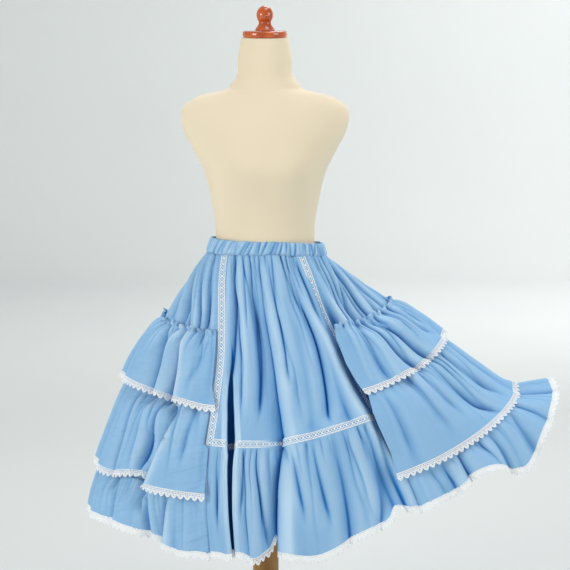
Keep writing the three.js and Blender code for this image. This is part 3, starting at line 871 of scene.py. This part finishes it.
def cotton_material():
    """Slubby cotton, with a painted highlight that makes it paler on the ridges of the cloth, and painted
    shade that makes it a deeper blue in its folds.
    """
    colours = settings(bpy.context)
    material, nodes, main = surface("blue_cotton", 0.85, sheen=0.1)
    main.inputs["Sheen Tint"].default_value = linear(150, 195, 235)
    main.inputs["Specular IOR Level"].default_value = 0.2
    uv = nodes.add("ShaderNodeUVMap", {"uv_map": "cloth"}).outputs["UV"]
    parts = nodes.add("ShaderNodeSeparateXYZ", Vector=uv).outputs
    u, v = Maths(nodes, parts["X"]), Maths(nodes, parts["Y"])
    weave = (u * 9000).sine() * (v * 9000).sine()
    slub = noise(nodes, vector(nodes, u * 2200, v * 90))
    patchy = noise(nodes, uv, 26.0)
    tone = (slub * 0.5 + patchy * 0.5 - 0.2) * 1.6
    shown = blend(nodes, tone.clamp(), colours.slub, colours.cotton)
    # Painted light: where the 'deep' attribute is below 0, on sharp ridges, the cotton is lightened as a
    # painted highlight; above 0, in hollows and deep folds, it is darkened as painted shade.
    deep = Maths(nodes, nodes.add("ShaderNodeAttribute", {"attribute_name": "deep"}).outputs["Fac"])
    shown = blend(nodes, (deep * -1.1).clamp(), shown, colours.painted_ridge_highlight)
    shown = blend(nodes, (deep * 1.7).clamp(), shown, colours.painted_hollow_shade)
    shown = blend(nodes, (deep * 1.7 - 0.7).clamp(), shown, colours.fold)
    nodes.put(main.inputs["Base Color"], shown)
    wrinkle = noise(nodes, vector(nodes, u * 34, v * 11), detail=3.0)
    bump(nodes, main, wrinkle * 9 + (weave * 0.15 + slub) * 0.06, 0.5, 0.001)
    return material


def lace_material():
    material, nodes, main = surface("white_lace", 0.8, sheen=0.3)
    grain = noise(nodes, position(nodes), 1500.0)
    thread = settings(bpy.context).lace
    nodes.put(main.inputs["Base Color"], blend(nodes, grain, linear(243, 246, 250), thread))
    bump(nodes, main, grain, 0.4, 0.0003)
    return material


def jersey_material():
    material, nodes, main = surface("cream_jersey", 0.9, sheen=0.2)
    place = position(nodes)
    grain = noise(nodes, place, 900.0, 3.0)
    soft = noise(nodes, place, 7.0)
    tone = grain * 0.5 + soft * 0.5
    cream = settings(bpy.context).jersey
    nodes.put(main.inputs["Base Color"], blend(nodes, tone, linear(238, 221, 191), cream))
    bump(nodes, main, grain, 0.3, 0.0004)
    return material


def wood_material(name, dark, light, rough, coat):
    """Turned wood, with its grain along Z."""
    material, nodes, main = surface(name, rough, coat=coat)
    place = position(nodes)
    parts = nodes.add("ShaderNodeSeparateXYZ", Vector=place).outputs
    x, y, z = (Maths(nodes, parts[k]) for k in "XYZ")
    drift = noise(nodes, place, 9.0)
    grain = ((x * 160 + y * 60 + z * 9 + drift * 7).sine() * 0.5 + 0.5) * 0.6
    streak = noise(nodes, vector(nodes, x * 700, y * 700, z * 30))
    nodes.put(main.inputs["Base Color"], blend(nodes, (grain + streak * 0.5).clamp(), dark, light))
    bump(nodes, main, streak, 0.08, 0.0003)
    return material


def stage_material():
    material, nodes, main = surface("pale_studio", 0.95)
    soft = noise(nodes, position(nodes), 0.6)
    nodes.put(main.inputs["Base Color"], blend(nodes, soft, linear(226, 229, 228), linear(232, 235, 232)))
    return material


def piece(name, mesh, material, slot, *nodes):
    """A shown piece on the part's one body, standing for its CAD nodes."""
    obj = mesh if isinstance(mesh, bpy.types.Object) else linked(name, mesh)
    obj.data.materials.clear()
    obj.data.materials.append(material)
    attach(obj, "root")
    if nodes:
        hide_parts(*nodes)
    return obj


def shared(name, make):
    """A material that several pieces share, made the first time it is asked for."""
    return bpy.data.materials.get(name) or make()


def cotton():
    return shared("blue_cotton", cotton_material)


def white():
    return shared("white_lace", lace_material)


# ---- the skirt's sheets --------------------------------------------------------------------


def rows(first, last, step):
    """Levels from first to last, about a step apart."""
    return np.linspace(first, last, max(2, round((last - first) / step)) + 1)


def stand_off(patch, seam, most, floor=RUFFLE_GAP, least=RUFFLE_GAP):
    """How far a ruffle stands off the cloth behind it, caught in at the front lace."""
    below = np.abs(patch.down - seam)
    caught = 0.12 + 0.88 * ease(patch.from_ends / 70)
    patch.off = soft_floor(patch.off + least + most * (1 - np.exp(-below / 40)) * caught, floor)


def lying(patch):
    """1, but less on the flung side, where the ruffles lie close on the cloth beneath."""
    return 1 - 0.6 * np.exp(-(((patch.across - 0.15) / 0.1) ** 2))


def waist_gathers(p, s, strength):
    """Gathers below the waistband, as deep as the form behind leaves room for.

    All that lies on the yoke shares them.
    """
    before = p.off
    p.off = np.zeros(p.off.shape)
    p.gather(0, s.seed + 1, 13, 430, 17 * s.gathers, strength=strength, root=0.5)
    p.gather(0, s.seed + 2, 8, 75, 10 * s.gathers, strength=strength, root=0.6)
    room = 7 + 0.19 * p.down
    if p.section == "side":
        aside = ease((np.abs(p.across - 0.48) - 0.08) / 0.15)
        room = 4.5 + 0.11 * p.down + 60 * aside * ease((p.down - 10) / 100)
    p.off = before + np.where(p.off < 0, room * np.tanh(p.off / room), p.off)


def front_panel_patch(s):
    p = Patch("front", rows(0, PANEL_FOOT - 0.3, 4.6), 300)
    waist_gathers(p, s, p.fade(290, 110))
    p.spring()
    p.crumple(s.seed + 3, 90, 0.9, p.fade(350, 50))
    p.crumple(s.seed + 21, 44, 2.0, ease((p.down - 40) / 80) * p.fade(350, 50), long=5)
    p.fold(FRONT_FOLDS, s.folds)
    p.slot(FRONT_SLOTS, s.folds)
    p.recess()
    return p


def side_patch(s):
    downs = np.concatenate([rows(0, 192, 5), rows(206, PANEL_END, 16)])
    p = Patch("side", downs, 620)
    waist_gathers(p, s, p.fade(YOKE_FOOT, 70))
    p.spring()
    p.fold(SIDE_FOLDS, s.folds)
    p.fold(UPPER_FOLDS, s.folds)
    p.fold(MIDDLE_FOLDS, s.folds)
    p.flute()
    p.recess()
    return p


def upper_patch(s):
    downs = rows(UPPER_SEAM - HEADING - 2, UPPER_HEM, 4)
    start = np.interp(downs, (UPPER_SEAM - HEADING, 200, 260, UPPER_HEM), (-3, -11, -13, -6))
    end = np.interp(downs, (290, UPPER_HEM), (BESIDE_LACE, -2))
    p = Patch("side", downs, 820, start, end)
    p.gather(UPPER_SEAM, s.seed + 5, 20, 150, 11 * s.gathers, root=0.12)
    p.gather(UPPER_SEAM, s.seed + 4, 8, 55, 7 * s.gathers, root=0.6)
    p.frill(UPPER_SEAM, HEADING, s.seed + 15, 6.5 * s.gathers)
    p.crumple(s.seed + 6, 110, 1.2)
    p.crumple(s.seed + 18, 46, 1.5, long=3)
    floor = RUFFLE_GAP + 11 * ease((p.down - 280) / 50)
    stand_off(p, UPPER_SEAM, np.where(p.down < UPPER_SEAM, 14, 25) * lying(p), floor, 5.5)
    waist_gathers(p, s, p.fade(YOKE_FOOT, 70))
    p.fold(SIDE_FOLDS, s.folds)
    p.fold(UPPER_FOLDS, s.folds)
    p.flute()
    p.shift(UPPER_SHIFTS, UPPER_SEAM, UPPER_HEM, sewn=False)
    return p


def middle_patch(s):
    downs = rows(MIDDLE_SEAM, MIDDLE_HEM, 5)
    knots = (MIDDLE_SEAM, 370, 410, 440, 490, MIDDLE_HEM)
    start = np.interp(downs, knots, (4, -4, -11, -12, -9, -14))
    end = BESIDE_LACE - 10 * ease((downs - (PANEL_FOOT + 7)) / 6)
    p = Patch("side", downs, 800, start, end)
    p.gather(MIDDLE_SEAM, s.seed + 7, 30, 230, 13 * s.gathers)
    p.gather(MIDDLE_SEAM, s.seed + 16, 12, 110, 7 * s.gathers, root=0.5)
    p.crumple(s.seed + 8, 130, 1.4)
    p.crumple(s.seed + 19, 50, 1.6, long=3)
    floor = RUFFLE_GAP + 8 * ease((p.down - 480) / 40)
    stand_off(p, MIDDLE_SEAM, 18 * lying(p), floor)
    p.fold(SIDE_FOLDS, s.folds)
    p.fold(UPPER_FOLDS, s.folds)
    p.fold(MIDDLE_FOLDS, s.folds)
    p.flute()
    p.shift(MIDDLE_SHIFTS, MIDDLE_SEAM, MIDDLE_HEM, sewn=False)
    return p


def lower_patch(s):
    downs = rows(LOWER_SEAM, LOWER_HEM, 4.4)
    ends = np.interp(downs, (PANEL_END, PANEL_END + 12), (0.3, -3))
    p = Patch("side", downs, 820, ends, ends)
    p.gather(LOWER_SEAM, s.seed + 9, 28, 170, 11 * s.gathers)
    p.gather(LOWER_SEAM, s.seed + 17, 11, 60, 5 * s.gathers)
    p.crumple(s.seed + 10, 120, 1.6)
    p.crumple(s.seed + 20, 46, 1.5, long=3)
    stand_off(p, LOWER_SEAM, 11)
    p.off = p.off * np.maximum(ease(p.from_ends / 12), p.fade(PANEL_END + 3, 12))
    p.inward += 2.4 * (1 - ease((p.from_ends - 1) / 5))
    p.fold(MIDDLE_FOLDS, s.folds)
    p.fold(LOWER_FOLDS, s.folds)
    p.flute()
    p.shift(LOWER_SHIFTS, LOWER_SEAM, LOWER_HEM)
    return p


def front_ruffle_patch(s):
    p = Patch("front", rows(PANEL_FOOT + 0.3, FRONT_HEM, 4), 300)
    sewn = ease((p.down - PANEL_FOOT - 8) / 8)
    p.gather(PANEL_FOOT + 10, s.seed + 11, 15, 190, 7 * s.gathers, strength=sewn)
    p.gather(PANEL_FOOT + 10, s.seed + 14, 7, 40, 4 * s.gathers, strength=sewn)
    p.crumple(s.seed + 12, 100, 1.2, sewn)
    p.crumple(s.seed + 22, 44, 1.6, sewn, long=3)
    p.fold(FRONT_FOLDS, s.folds)
    p.slot(FRONT_SLOTS, s.folds)
    p.recess()
    p.shift(FRONT_SHIFTS, PANEL_FOOT, FRONT_HEM)
    return p


def row_guide(points, row, off):
    """Guide for a trim along one row of a sheet, 'off' millimetres out from its middle."""
    down, out = directions(points)
    return (points[row] + out[row] * off)[::-1], down[row][::-1], out[row][::-1]


def band_grids(s):
    """Outer and inner grids of the gathered waistband, its UV map, and the painted shade and painted
    highlight of its puckers.
    """
    share = np.linspace(0, 1, 21)[:, None]
    angle = np.linspace(0, 2 * np.pi, 500, endpoint=False)[None]
    c, sine = np.cos(angle), np.sin(angle)
    left, right, front, back, z_left, z_front, z_right, z_back = (
        through(BAND, k, share) for k in range(1, 9)
    )
    wide = np.where(c > 0, right, left)
    deep = np.where(sine < 0, front, back)
    z_across = np.where(c > 0, z_right, z_left)
    z = z_across * c * c + np.where(sine < 0, z_front, z_back) * sine * sine
    place = angle * BAND_RADIUS
    rng = np.random.default_rng(s.seed + 13)
    ripple = np.zeros(z.shape)
    for at in np.arange(0, BAND_ROUND, 9.2):
        at = at + rng.uniform(-3.2, 3.2)
        lean = rng.uniform(-15, -1)
        gentle, steep = rng.uniform(2.2, 4.2), rng.uniform(0.9, 1.6)
        strong = rng.uniform(0.4, 1.8)
        bias = rng.uniform(0, 1)
        offset = place - at - lean * (share - 0.5)
        offset = (offset + BAND_ROUND / 2) % BAND_ROUND - BAND_ROUND / 2
        taper = 0.5 + 0.5 * np.exp(-((share - bias) ** 2) * 3)
        ripple += strong * taper * valley(offset / np.where(offset < 0, gentle, steep))
    bulge = 0.9 * np.sin(np.pi * np.clip(share * 0.94 + 0.03, 0, 1)) ** 0.7
    pinch = (0.55 + 0.45 * ease(share / 0.12)) * (0.12 + 0.88 * ease((1 - share) / 0.22))
    dip = 1 - np.exp(-ripple)
    out_by = 0.7 + bulge + (4.8 - 6.4 * dip) * pinch * s.gathers
    base = np.stack([wide * c, deep * sine, z], -1)
    out = np.stack([c + 0 * wide, sine + 0 * wide, 0 * wide], -1)
    wavy = 1.6 * np.sin(angle * 31 + 1.3) * np.sin(angle * 17) * (1 - share) ** 4
    outer = base + out * out_by[..., None]
    outer[..., 2] += wavy
    inner = base - out * 1.2
    # The band is cut from another part of the cloth than the panels.
    uv = np.stack([place + 0 * wide, 200 + share * BAND_HEIGHT + 0 * wide], -1)
    # The last value is the 'deep' value: painted shade in the band's puckers, and painted highlight
    # between them where it is below 0.
    return outer, inner, uv, np.clip(dip * 1.5 - 0.55, -0.5, 0.7)


# ---- motifs of the trims, in millimetres: x along, y down, z out ----------------------------


def edging_motif():
    """One scallop of the edging: a band with two rows of eyelets and a small point."""
    full, half = EDGING_PITCH, EDGING_PITCH / 2
    runs = []
    for y, wide in ((0.9, 2.1), (4.5, 1.5), (8.4, 2.1)):
        runs.append(([(0, y), (half, y), (full, y)], wide, 0.35))
    for x in (1.9, 5.6, 9.4, 13.1):
        runs.append(([(x, 0.9), (x, 4.5)], 1.5, 0.3))
    zigzag = [(0, 4.5), (half / 2, 8.4), (half, 4.5), (half + half / 2, 8.4), (full, 4.5)]
    runs.append((zigzag, 1.7, 0.3))
    outer = [(1.3, 8.9), (2.3, 11.2), (3.8, 13.6), (5.6, 15.4), (half, 16.2)]
    inner = [(4.0, 9.0), (5.3, 11.2), (half, 12.6)]
    for run, wide in ((outer, 2.3), (inner, 1.7)):
        runs.append((run, wide, 0.35))
        runs.append(([(full - x, y) for x, y in run[::-1]], wide, 0.35))
    for bar in ([(2.9, 12.2), (5.0, 10.8)], [(5.2, 15.0), (6.2, 12.0)], [(half, 17.6), (half, 12.6)]):
        runs.append((bar, 1.5, 0.3))
        runs.append(([(full - x, y) for x, y in bar], 1.5, 0.3))
    return cords("edging_motif", runs)


def insertion_motif():
    """One repeat of the insertion lace: two edges and a net of two rows of lozenges."""
    full, half = INSERTION_PITCH, INSERTION_PITCH / 2
    runs = []
    for side in (-1, 1):
        runs.append(([(0, 7.2 * side), (half, 7.2 * side), (full, 7.2 * side)], 1.5, 0.35))
        runs.append(([(0, 0.4 * side), (half, 6.4 * side), (full, 0.4 * side)], 1.25, 0.35))
        runs.append(([(0, 6.4 * side), (half, 0.4 * side), (full, 6.4 * side)], 1.25, 0.3))
        runs.append(([(5.3, 1.4 * side), (half, 1.4 * side), (8.7, 1.4 * side)], 2.9, 0.4))
    return cords("insertion_motif", runs)


def stitch_motif():
    """One stitch, with the space that follows it."""
    return cords("stitch_motif", [([(0.4, 0), (1.3, 0), (2.4, 0)], 0.7, 0.45)])


# ---- the dress form ------------------------------------------------------------------------

# Height, half width, depth to the front and to the back, and how steeply each level climbs toward
# the back.
FORM = np.array(
    [
        (700, 168, 118, 134, 0),
        (760, 170, 121, 140, 0),
        (820, 161, 117, 136, 0),
        (880, 140, 108, 120, 0),
        (930, 122, 99, 103, 0),
        (962, 114, 95.5, 94, 0),
        (1000, 112.5, 94.8, 90.4, 0),
        (1045, 114.5, 97, 91, 0),
        (1090, 122, 104, 95, 0),
        (1125, 129, 114, 99, 0),
        (1159, 139, 122, 103, 0),
        (1204, 161, 119, 108, 0),
        (1250, 184, 108, 109, 0),
        (1279, 190, 98, 105, 0),
        (1302, 184, 88, 98, 0),
        (1318, 164, 79, 91, 0),
        (1329, 139, 72, 86, 0),
        (1340, 90, 64, 80, 0.01),
        (1352, 78, 60, 75, 0.02),
        (1363, 68, 58, 70, 0.03),
        (1409, 61, 55, 62, 0.07),
        (1456, 53, 51, 53, 0.1051),
    ],
    float,
)
FORM_UNDERSIDE = 700
NECK_SEAM = 1333
NECK_TOP = 1456

# The neck plate's tip toward the front, its radius and thickness, and the joint under it and above.
PLATE_TILT = math.radians(6)
PLATE_RADIUS = 50.5
PLATE_THICK = 15
GAP = 0.4
# Radius and height of the finial's outline, from the middle of its foot to its top.
FINIAL = (
    (0, 0), (23, 0), (21.6, 3), (17.8, 8), (14.9, 13), (13.6, 17.4), (14.4, 20),
    (17.4, 25.4), (19.0, 31), (19.1, 36), (17.4, 43), (13.4, 49), (7, 53.6), (0, 55.2),
)


def form_mesh():
    """Smooth torso with a modest bust and a seam round the foot of the neck."""
    z = np.concatenate([rows(FORM_UNDERSIDE, 1296, 6), rows(1299, NECK_TOP, 2.6)])[:, None]
    angle = np.linspace(0, 2 * np.pi, 200, endpoint=False)[None]
    c, s = np.cos(angle), np.sin(angle)
    wide, front, back, slope = (through(FORM, k, z) for k in (1, 2, 3, 4))
    x = wide * c
    y = np.where(s < 0, front, back) * s
    facing = ease((-s - 0.1) / 0.5)
    for side in (-1, 1):
        bust = np.exp(-(((x - 66 * side) / 46) ** 2) - ((z - 1158) / 44) ** 2)
        y = y - 8 * bust * facing
    shrink = 1 - 0.008 * np.exp(-(((z - NECK_SEAM) / 2.2) ** 2))
    return capped("form", np.stack([x * shrink, y * shrink, z + slope * y], -1))


def drum(radius, low, high):
    """Profile of an upright drum."""
    return [(0, low), (radius, low), (radius, high), (0, high)]


def drum_of(node):
    """Profile of the drum that fills a CAD node's box."""
    low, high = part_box(node)
    return drum(millimetres(high[0]), millimetres(low[2]), millimetres(high[2]))


def rounded(profile, soft, steps):
    """A profile with all but its first and last corners rounded."""
    done = [profile[0]]
    for before, here, after in zip(profile, profile[1:], profile[2:]):
        a, b, c = (np.array(p, float) for p in (before, here, after))
        cut = min(soft, np.linalg.norm(b - a) / 2, np.linalg.norm(c - b) / 2)
        start = b + (a - b) / np.linalg.norm(a - b) * cut
        end = b + (c - b) / np.linalg.norm(c - b) * cut
        for t in np.linspace(0, 1, steps):
            done.append(tuple((1 - t) ** 2 * start + 2 * t * (1 - t) * b + t * t * end))
    return done + [profile[-1]]


def tip(mesh, height):
    """Stands a mesh on the tipped neck."""
    co = np.empty(len(mesh.vertices) * 3, np.float32)
    mesh.vertices.foreach_get("co", co)
    co = co.reshape(-1, 3)
    co[:, 2] += height * MM
    c, s = math.cos(PLATE_TILT), math.sin(PLATE_TILT)
    y, z = co[:, 1] * c - co[:, 2] * s, co[:, 1] * s + co[:, 2] * c
    co[:, 1], co[:, 2] = y, z + NECK_TOP * MM
    mesh.vertices.foreach_set("co", co.ravel())
    mesh.update()
    return mesh


# ---- operators -----------------------------------------------------------------------------


def strength(name, description):
    return bpy.props.FloatProperty(
        name=name, description=description, default=1, min=0, max=2, subtype="FACTOR"
    )


def length(name, description, default, least, most):
    """A length that is given here in millimetres and kept in metres."""
    return bpy.props.FloatProperty(
        name=name,
        description=description,
        default=default * MM,
        min=least * MM,
        max=most * MM,
        precision=4,
        subtype="DISTANCE",
        unit="LENGTH",
    )


def colour(name, description, *rgb):
    return bpy.props.FloatVectorProperty(
        name=name, description=description, default=linear(*rgb), size=4, min=0, max=1, subtype="COLOR"
    )


class SkirtSettings(bpy.types.PropertyGroup):
    seed: bpy.props.IntProperty(name="Seed", description="Seed of the fine gathers", default=7)
    folds: strength("Folds", "Strength of the main folds")
    gathers: strength("Gathers", "Strength of the fine gathers")
    cloth: length("Cloth", "Thickness of the cloth", 1, 0.3, 3)
    scallop: length("Scallop", "Width of one scallop of the edging", EDGING_PITCH, 6, 40)
    cotton: colour("Cotton", "Colour of the cotton", 151, 194, 231)
    slub: colour("Slubs", "Colour of the thicker threads of the cotton", 139, 185, 224)
    # Painted highlight on the ridges and painted shade in the hollows and deep folds of the cotton, mixed
    # into its colour.
    painted_ridge_highlight: colour("Ridges", "Colour of the cotton on sharp ridges", 202, 228, 247)
    painted_hollow_shade: colour("Hollows", "Colour of the cotton in hollows", 100, 156, 208)
    fold: colour("Deep folds", "Colour of the cotton deep in its folds", 30, 122, 198)
    lace: colour("Lace", "Colour of the lace", 253, 254, 255)
    jersey: colour("Jersey", "Colour of the dress form's cover", 244, 229, 201)
    knob: colour("Knob", "Colour of the wood of the neck plate and finial", 214, 100, 38)
    post: colour("Post", "Colour of the wood of the post and base", 172, 122, 48)


class SKIRT_OT_waistband(bpy.types.Operator):
    """Builds the gathered waistband"""

    bl_idname = "skirt.waistband"
    bl_label = "Waistband"

    def execute(self, context):
        s = settings(context)
        band = wall("waistband", *band_grids(s), closed=True)
        obj = piece("waistband_cloth", band, cotton(), "cotton", "waistband")
        return {"FINISHED"}


class SKIRT_OT_panels(bpy.types.Operator):
    """Builds the front panel and the side and back panel"""

    bl_idname = "skirt.panels"
    bl_label = "Panels"

    def execute(self, context):
        s = settings(context)
        thick = millimetres(s.cloth)
        front = sheet_wall("front_panel_cloth", front_panel_patch(s), thick)
        side = sheet_wall("side_back_cloth", side_patch(s), thick)
        front = piece("front_panel_cloth", front, cotton(), "cotton", "front_panel")
        side = piece("side_back_cloth", side, cotton(), "cotton", "side_back_panel")
        return {"FINISHED"}


class SKIRT_OT_ruffles(bpy.types.Operator):
    """Builds the four ruffles, their edging and the stitching of the heading"""

    bl_idname = "skirt.ruffles"
    bl_label = "Ruffles"

    def execute(self, context):
        s = settings(context)
        thick = millimetres(s.cloth)
        for node, edging, make, flat in (
            ("ruffle_upper", "edging_upper", upper_patch, (2.0, 0.160)),
            ("ruffle_middle", "edging_middle", middle_patch, (2.7, 0.199)),
            ("ruffle_lower", "edging_lower", lower_patch, (3.0, 0.109)),
            ("front_ruffle", "edging_front", front_ruffle_patch, (0.6, 0.210)),
        ):
            patch = make(s)
            name = node + "_cloth"
            obj = piece(name, sheet_wall(name, patch, thick), cotton(), "cotton", node)
            points = patch.points()
            hem, down, out = row_guide(points, -1, thick / 2)
            guide = (hem - down * EDGING_LAP, down, out)
            pitch = millimetres(s.scallop)
            lace = trim(edging + "_lace", guide, edging_motif(), EDGING_PITCH, white(), pitch)
            piece(edging + "_lace", lace, white(), "lace", edging)
            if node == "ruffle_upper":
                row = int(np.argmin(np.abs(patch.down[:, 0] - UPPER_SEAM)))
                line = row_guide(points, row, thick / 2)
                sewn = trim("heading_stitches", line, stitch_motif(), STITCH_PITCH, cotton())
                piece("heading_stitches", sewn, cotton(), "cotton")
        return {"FINISHED"}


class SKIRT_OT_insertion(bpy.types.Operator):
    """Lays the insertion lace over the front seams and along the foot of the front panel"""

    bl_idname = "skirt.insertion"
    bl_label = "Insertion lace"

    def execute(self, context):
        s = settings(context)
        off = millimetres(s.cloth) / 2 + 0.15
        downs = rows(1.5, PANEL_FOOT + 8.5, 3)
        seams = Patch("front", downs, 2, 0, 0)
        seams.recess()
        seams.spring()
        for name, column in (("lace_front_left", 0), ("lace_front_right", -1)):
            line = seams.points()[:, column]
            along = unit(np.gradient(line, axis=0))
            place = seams.across[:, column]
            level = section_point("front", place + 0.004, downs)
            level = level - section_point("front", place - 0.004, downs)
            out = unit(np.cross(along, unit(level)))
            across = unit(np.cross(out, along))
            guide = (line + out * off, across, out)
            lace = trim(name + "_lace", guide, insertion_motif(), INSERTION_PITCH, white())
            piece(name + "_lace", lace, white(), "lace", name)
        foot = Patch("front", rows(PANEL_FOOT - 12, PANEL_FOOT + 12, 3), 250, 8.6, 8.6)
        foot.fold(FRONT_FOLDS, s.folds)
        foot.slot(FRONT_SLOTS, s.folds)
        foot.recess()
        guide = row_guide(foot.points(), 4, off)
        lace = trim("lace_front_bottom_lace", guide, insertion_motif(), INSERTION_PITCH, white())
        piece("lace_front_bottom_lace", lace, white(), "lace", "lace_front_bottom")
        return {"FINISHED"}


class SKIRT_OT_form(bpy.types.Operator):
    """Builds the dress form with its neck plate, finial, post and round foot"""

    bl_idname = "skirt.form"
    bl_label = "Dress form"

    def execute(self, context):
        s = settings(context)
        knob = wood_material("polished_knob", linear(170, 66, 18), s.knob, 0.2, 0.7)
        wood = wood_material("oiled_post", linear(128, 84, 26), s.post, 0.4, 0.1)
        piece("form_cover", form_mesh(), jersey_material(), "form_cover", "form_body")
        plate = turned("neck_plate", rounded(drum(PLATE_RADIUS, 0, PLATE_THICK), 6.8, 8))
        piece("neck_plate_wood", tip(plate, GAP), knob, "knob_wood", "neck_plate")
        finial = turned("finial", rounded(FINIAL, 4, 6))
        piece("finial_wood", tip(finial, PLATE_THICK + 2 * GAP), knob, "knob_wood", "finial")
        post = turned("post", rounded(drum_of("post"), 1.5, 4))
        piece("post_wood", post, wood, "stand_wood", "post")
        base = turned("base", rounded(drum_of("base"), 6, 8), 144)
        piece("base_wood", base, wood, "stand_wood", "base")
        return {"FINISHED"}


# Name, place and the point it faces in metres, size, power and colour of each light.
LIGHTS = (
    ("key_light", (-3.2, -2.3, 1.7), (0.0, 0, 0.85), 1.6, 70, (1.0, 0.99, 0.97)),
    ("fill_light", (3.2, -1.9, 2.1), (0.3, 0, 0.8), 1.8, 44, (1.0, 0.99, 0.98)),
    ("top_light", (0.9, -0.9, 4.6), (0.2, 0, 0.8), 1.8, 34, (0.98, 0.99, 1.0)),
    ("floor_light", (0.9, 2.6, 4.8), (0.8, 1.8, 0.0), 3.0, 96, (1, 1, 1)),
    ("wall_light", (3.2, 4.6, 4.4), (3.4, 9.0, 2.6), 3.0, 196, (0.99, 0.99, 1.0)),
    ("far_wall_light", (-2.5, 3.0, 4.6), (-3.0, 9.0, 3.4), 3.0, 48, (0.99, 0.99, 1.0)),
)
# The camera's place in metres, how far it looks down, and its lens in millimetres.
CAMERA_PLACE = (0.045, -3.2, 1.27)
CAMERA_DIP = math.radians(6.643719)
CAMERA_LENS = 88.9


class SKIRT_OT_stage(bpy.types.Operator):
    """Sets a pale round studio, soft lights and the camera"""

    bl_idname = "skirt.stage"
    bl_label = "Stage"

    def execute(self, context):
        wall_at, bend = 10000, 1800
        profile = [(radius, 0) for radius in (10, 1500, 4000, 7000)]
        for turn in np.linspace(0, 1.57, 14):
            reach = wall_at - bend + bend * math.sin(turn)
            profile.append((reach, bend - bend * math.cos(turn)))
        profile += [(wall_at, 4000), (wall_at, 7000)]
        grid = spun(profile, 96)
        faces = grid_faces(len(grid), 96, closed=True)
        bowl = linked("studio_bowl", new_mesh("studio_bowl", grid.reshape(-1, 3), faces))
        bowl.data.materials.append(stage_material())
        for name, place, aim, size, power, tint in LIGHTS:
            light = bpy.data.lights.new(name, "AREA")
            light.size, light.energy, light.color = size, power, tint
            lamp = linked(name, light)
            lamp.location = place
            away = [p - a for p, a in zip(place, aim)]
            turn = math.atan2(away[0], -away[1])
            lamp.rotation_euler = (math.atan2(math.hypot(away[0], away[1]), away[2]), 0, turn)
        world = bpy.data.worlds.new("studio_air")
        world.use_nodes = True
        air = world.node_tree.nodes["Background"]
        air.inputs["Color"].default_value = (0.93, 0.96, 1.0, 1)
        air.inputs["Strength"].default_value = 0.37
        context.scene.view_settings.view_transform = "Standard"
        context.scene.world = world
        camera = bpy.data.cameras.new("camera")
        camera.lens = CAMERA_LENS
        camera.sensor_width = 36
        view = linked("camera", camera)
        view.location = CAMERA_PLACE
        view.rotation_euler = (math.radians(90) - CAMERA_DIP, 0, 0)
        context.scene.camera = view
        return {"FINISHED"}


class SKIRT_PT_panel(bpy.types.Panel):
    """Buttons for the skirt"""

    bl_idname = "SKIRT_PT_panel"
    bl_label = "Tiered ruffle skirt"
    bl_space_type = "VIEW_3D"
    bl_region_type = "UI"
    bl_category = "Skirt"

    def draw(self, context):
        for key in SkirtSettings.__annotations__:
            self.layout.prop(settings(context), key)
        for operator in OPERATORS:
            self.layout.operator(operator.bl_idname)


OPERATORS = (
    SKIRT_OT_waistband,
    SKIRT_OT_panels,
    SKIRT_OT_ruffles,
    SKIRT_OT_insertion,
    SKIRT_OT_form,
    SKIRT_OT_stage,
)
CLASSES = (SkirtSettings, *OPERATORS, SKIRT_PT_panel)


def register():
    for cls in CLASSES:
        bpy.utils.register_class(cls)
    bpy.types.Scene.skirt_settings = bpy.props.PointerProperty(type=SkirtSettings)


def unregister():
    del bpy.types.Scene.skirt_settings
    for cls in reversed(CLASSES):
        bpy.utils.unregister_class(cls)


def main():
    register()
    for operator in OPERATORS:
        group, name = operator.bl_idname.split(".")
        getattr(getattr(bpy.ops, group), name)()
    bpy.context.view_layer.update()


if __name__ == "__main__":
    main()
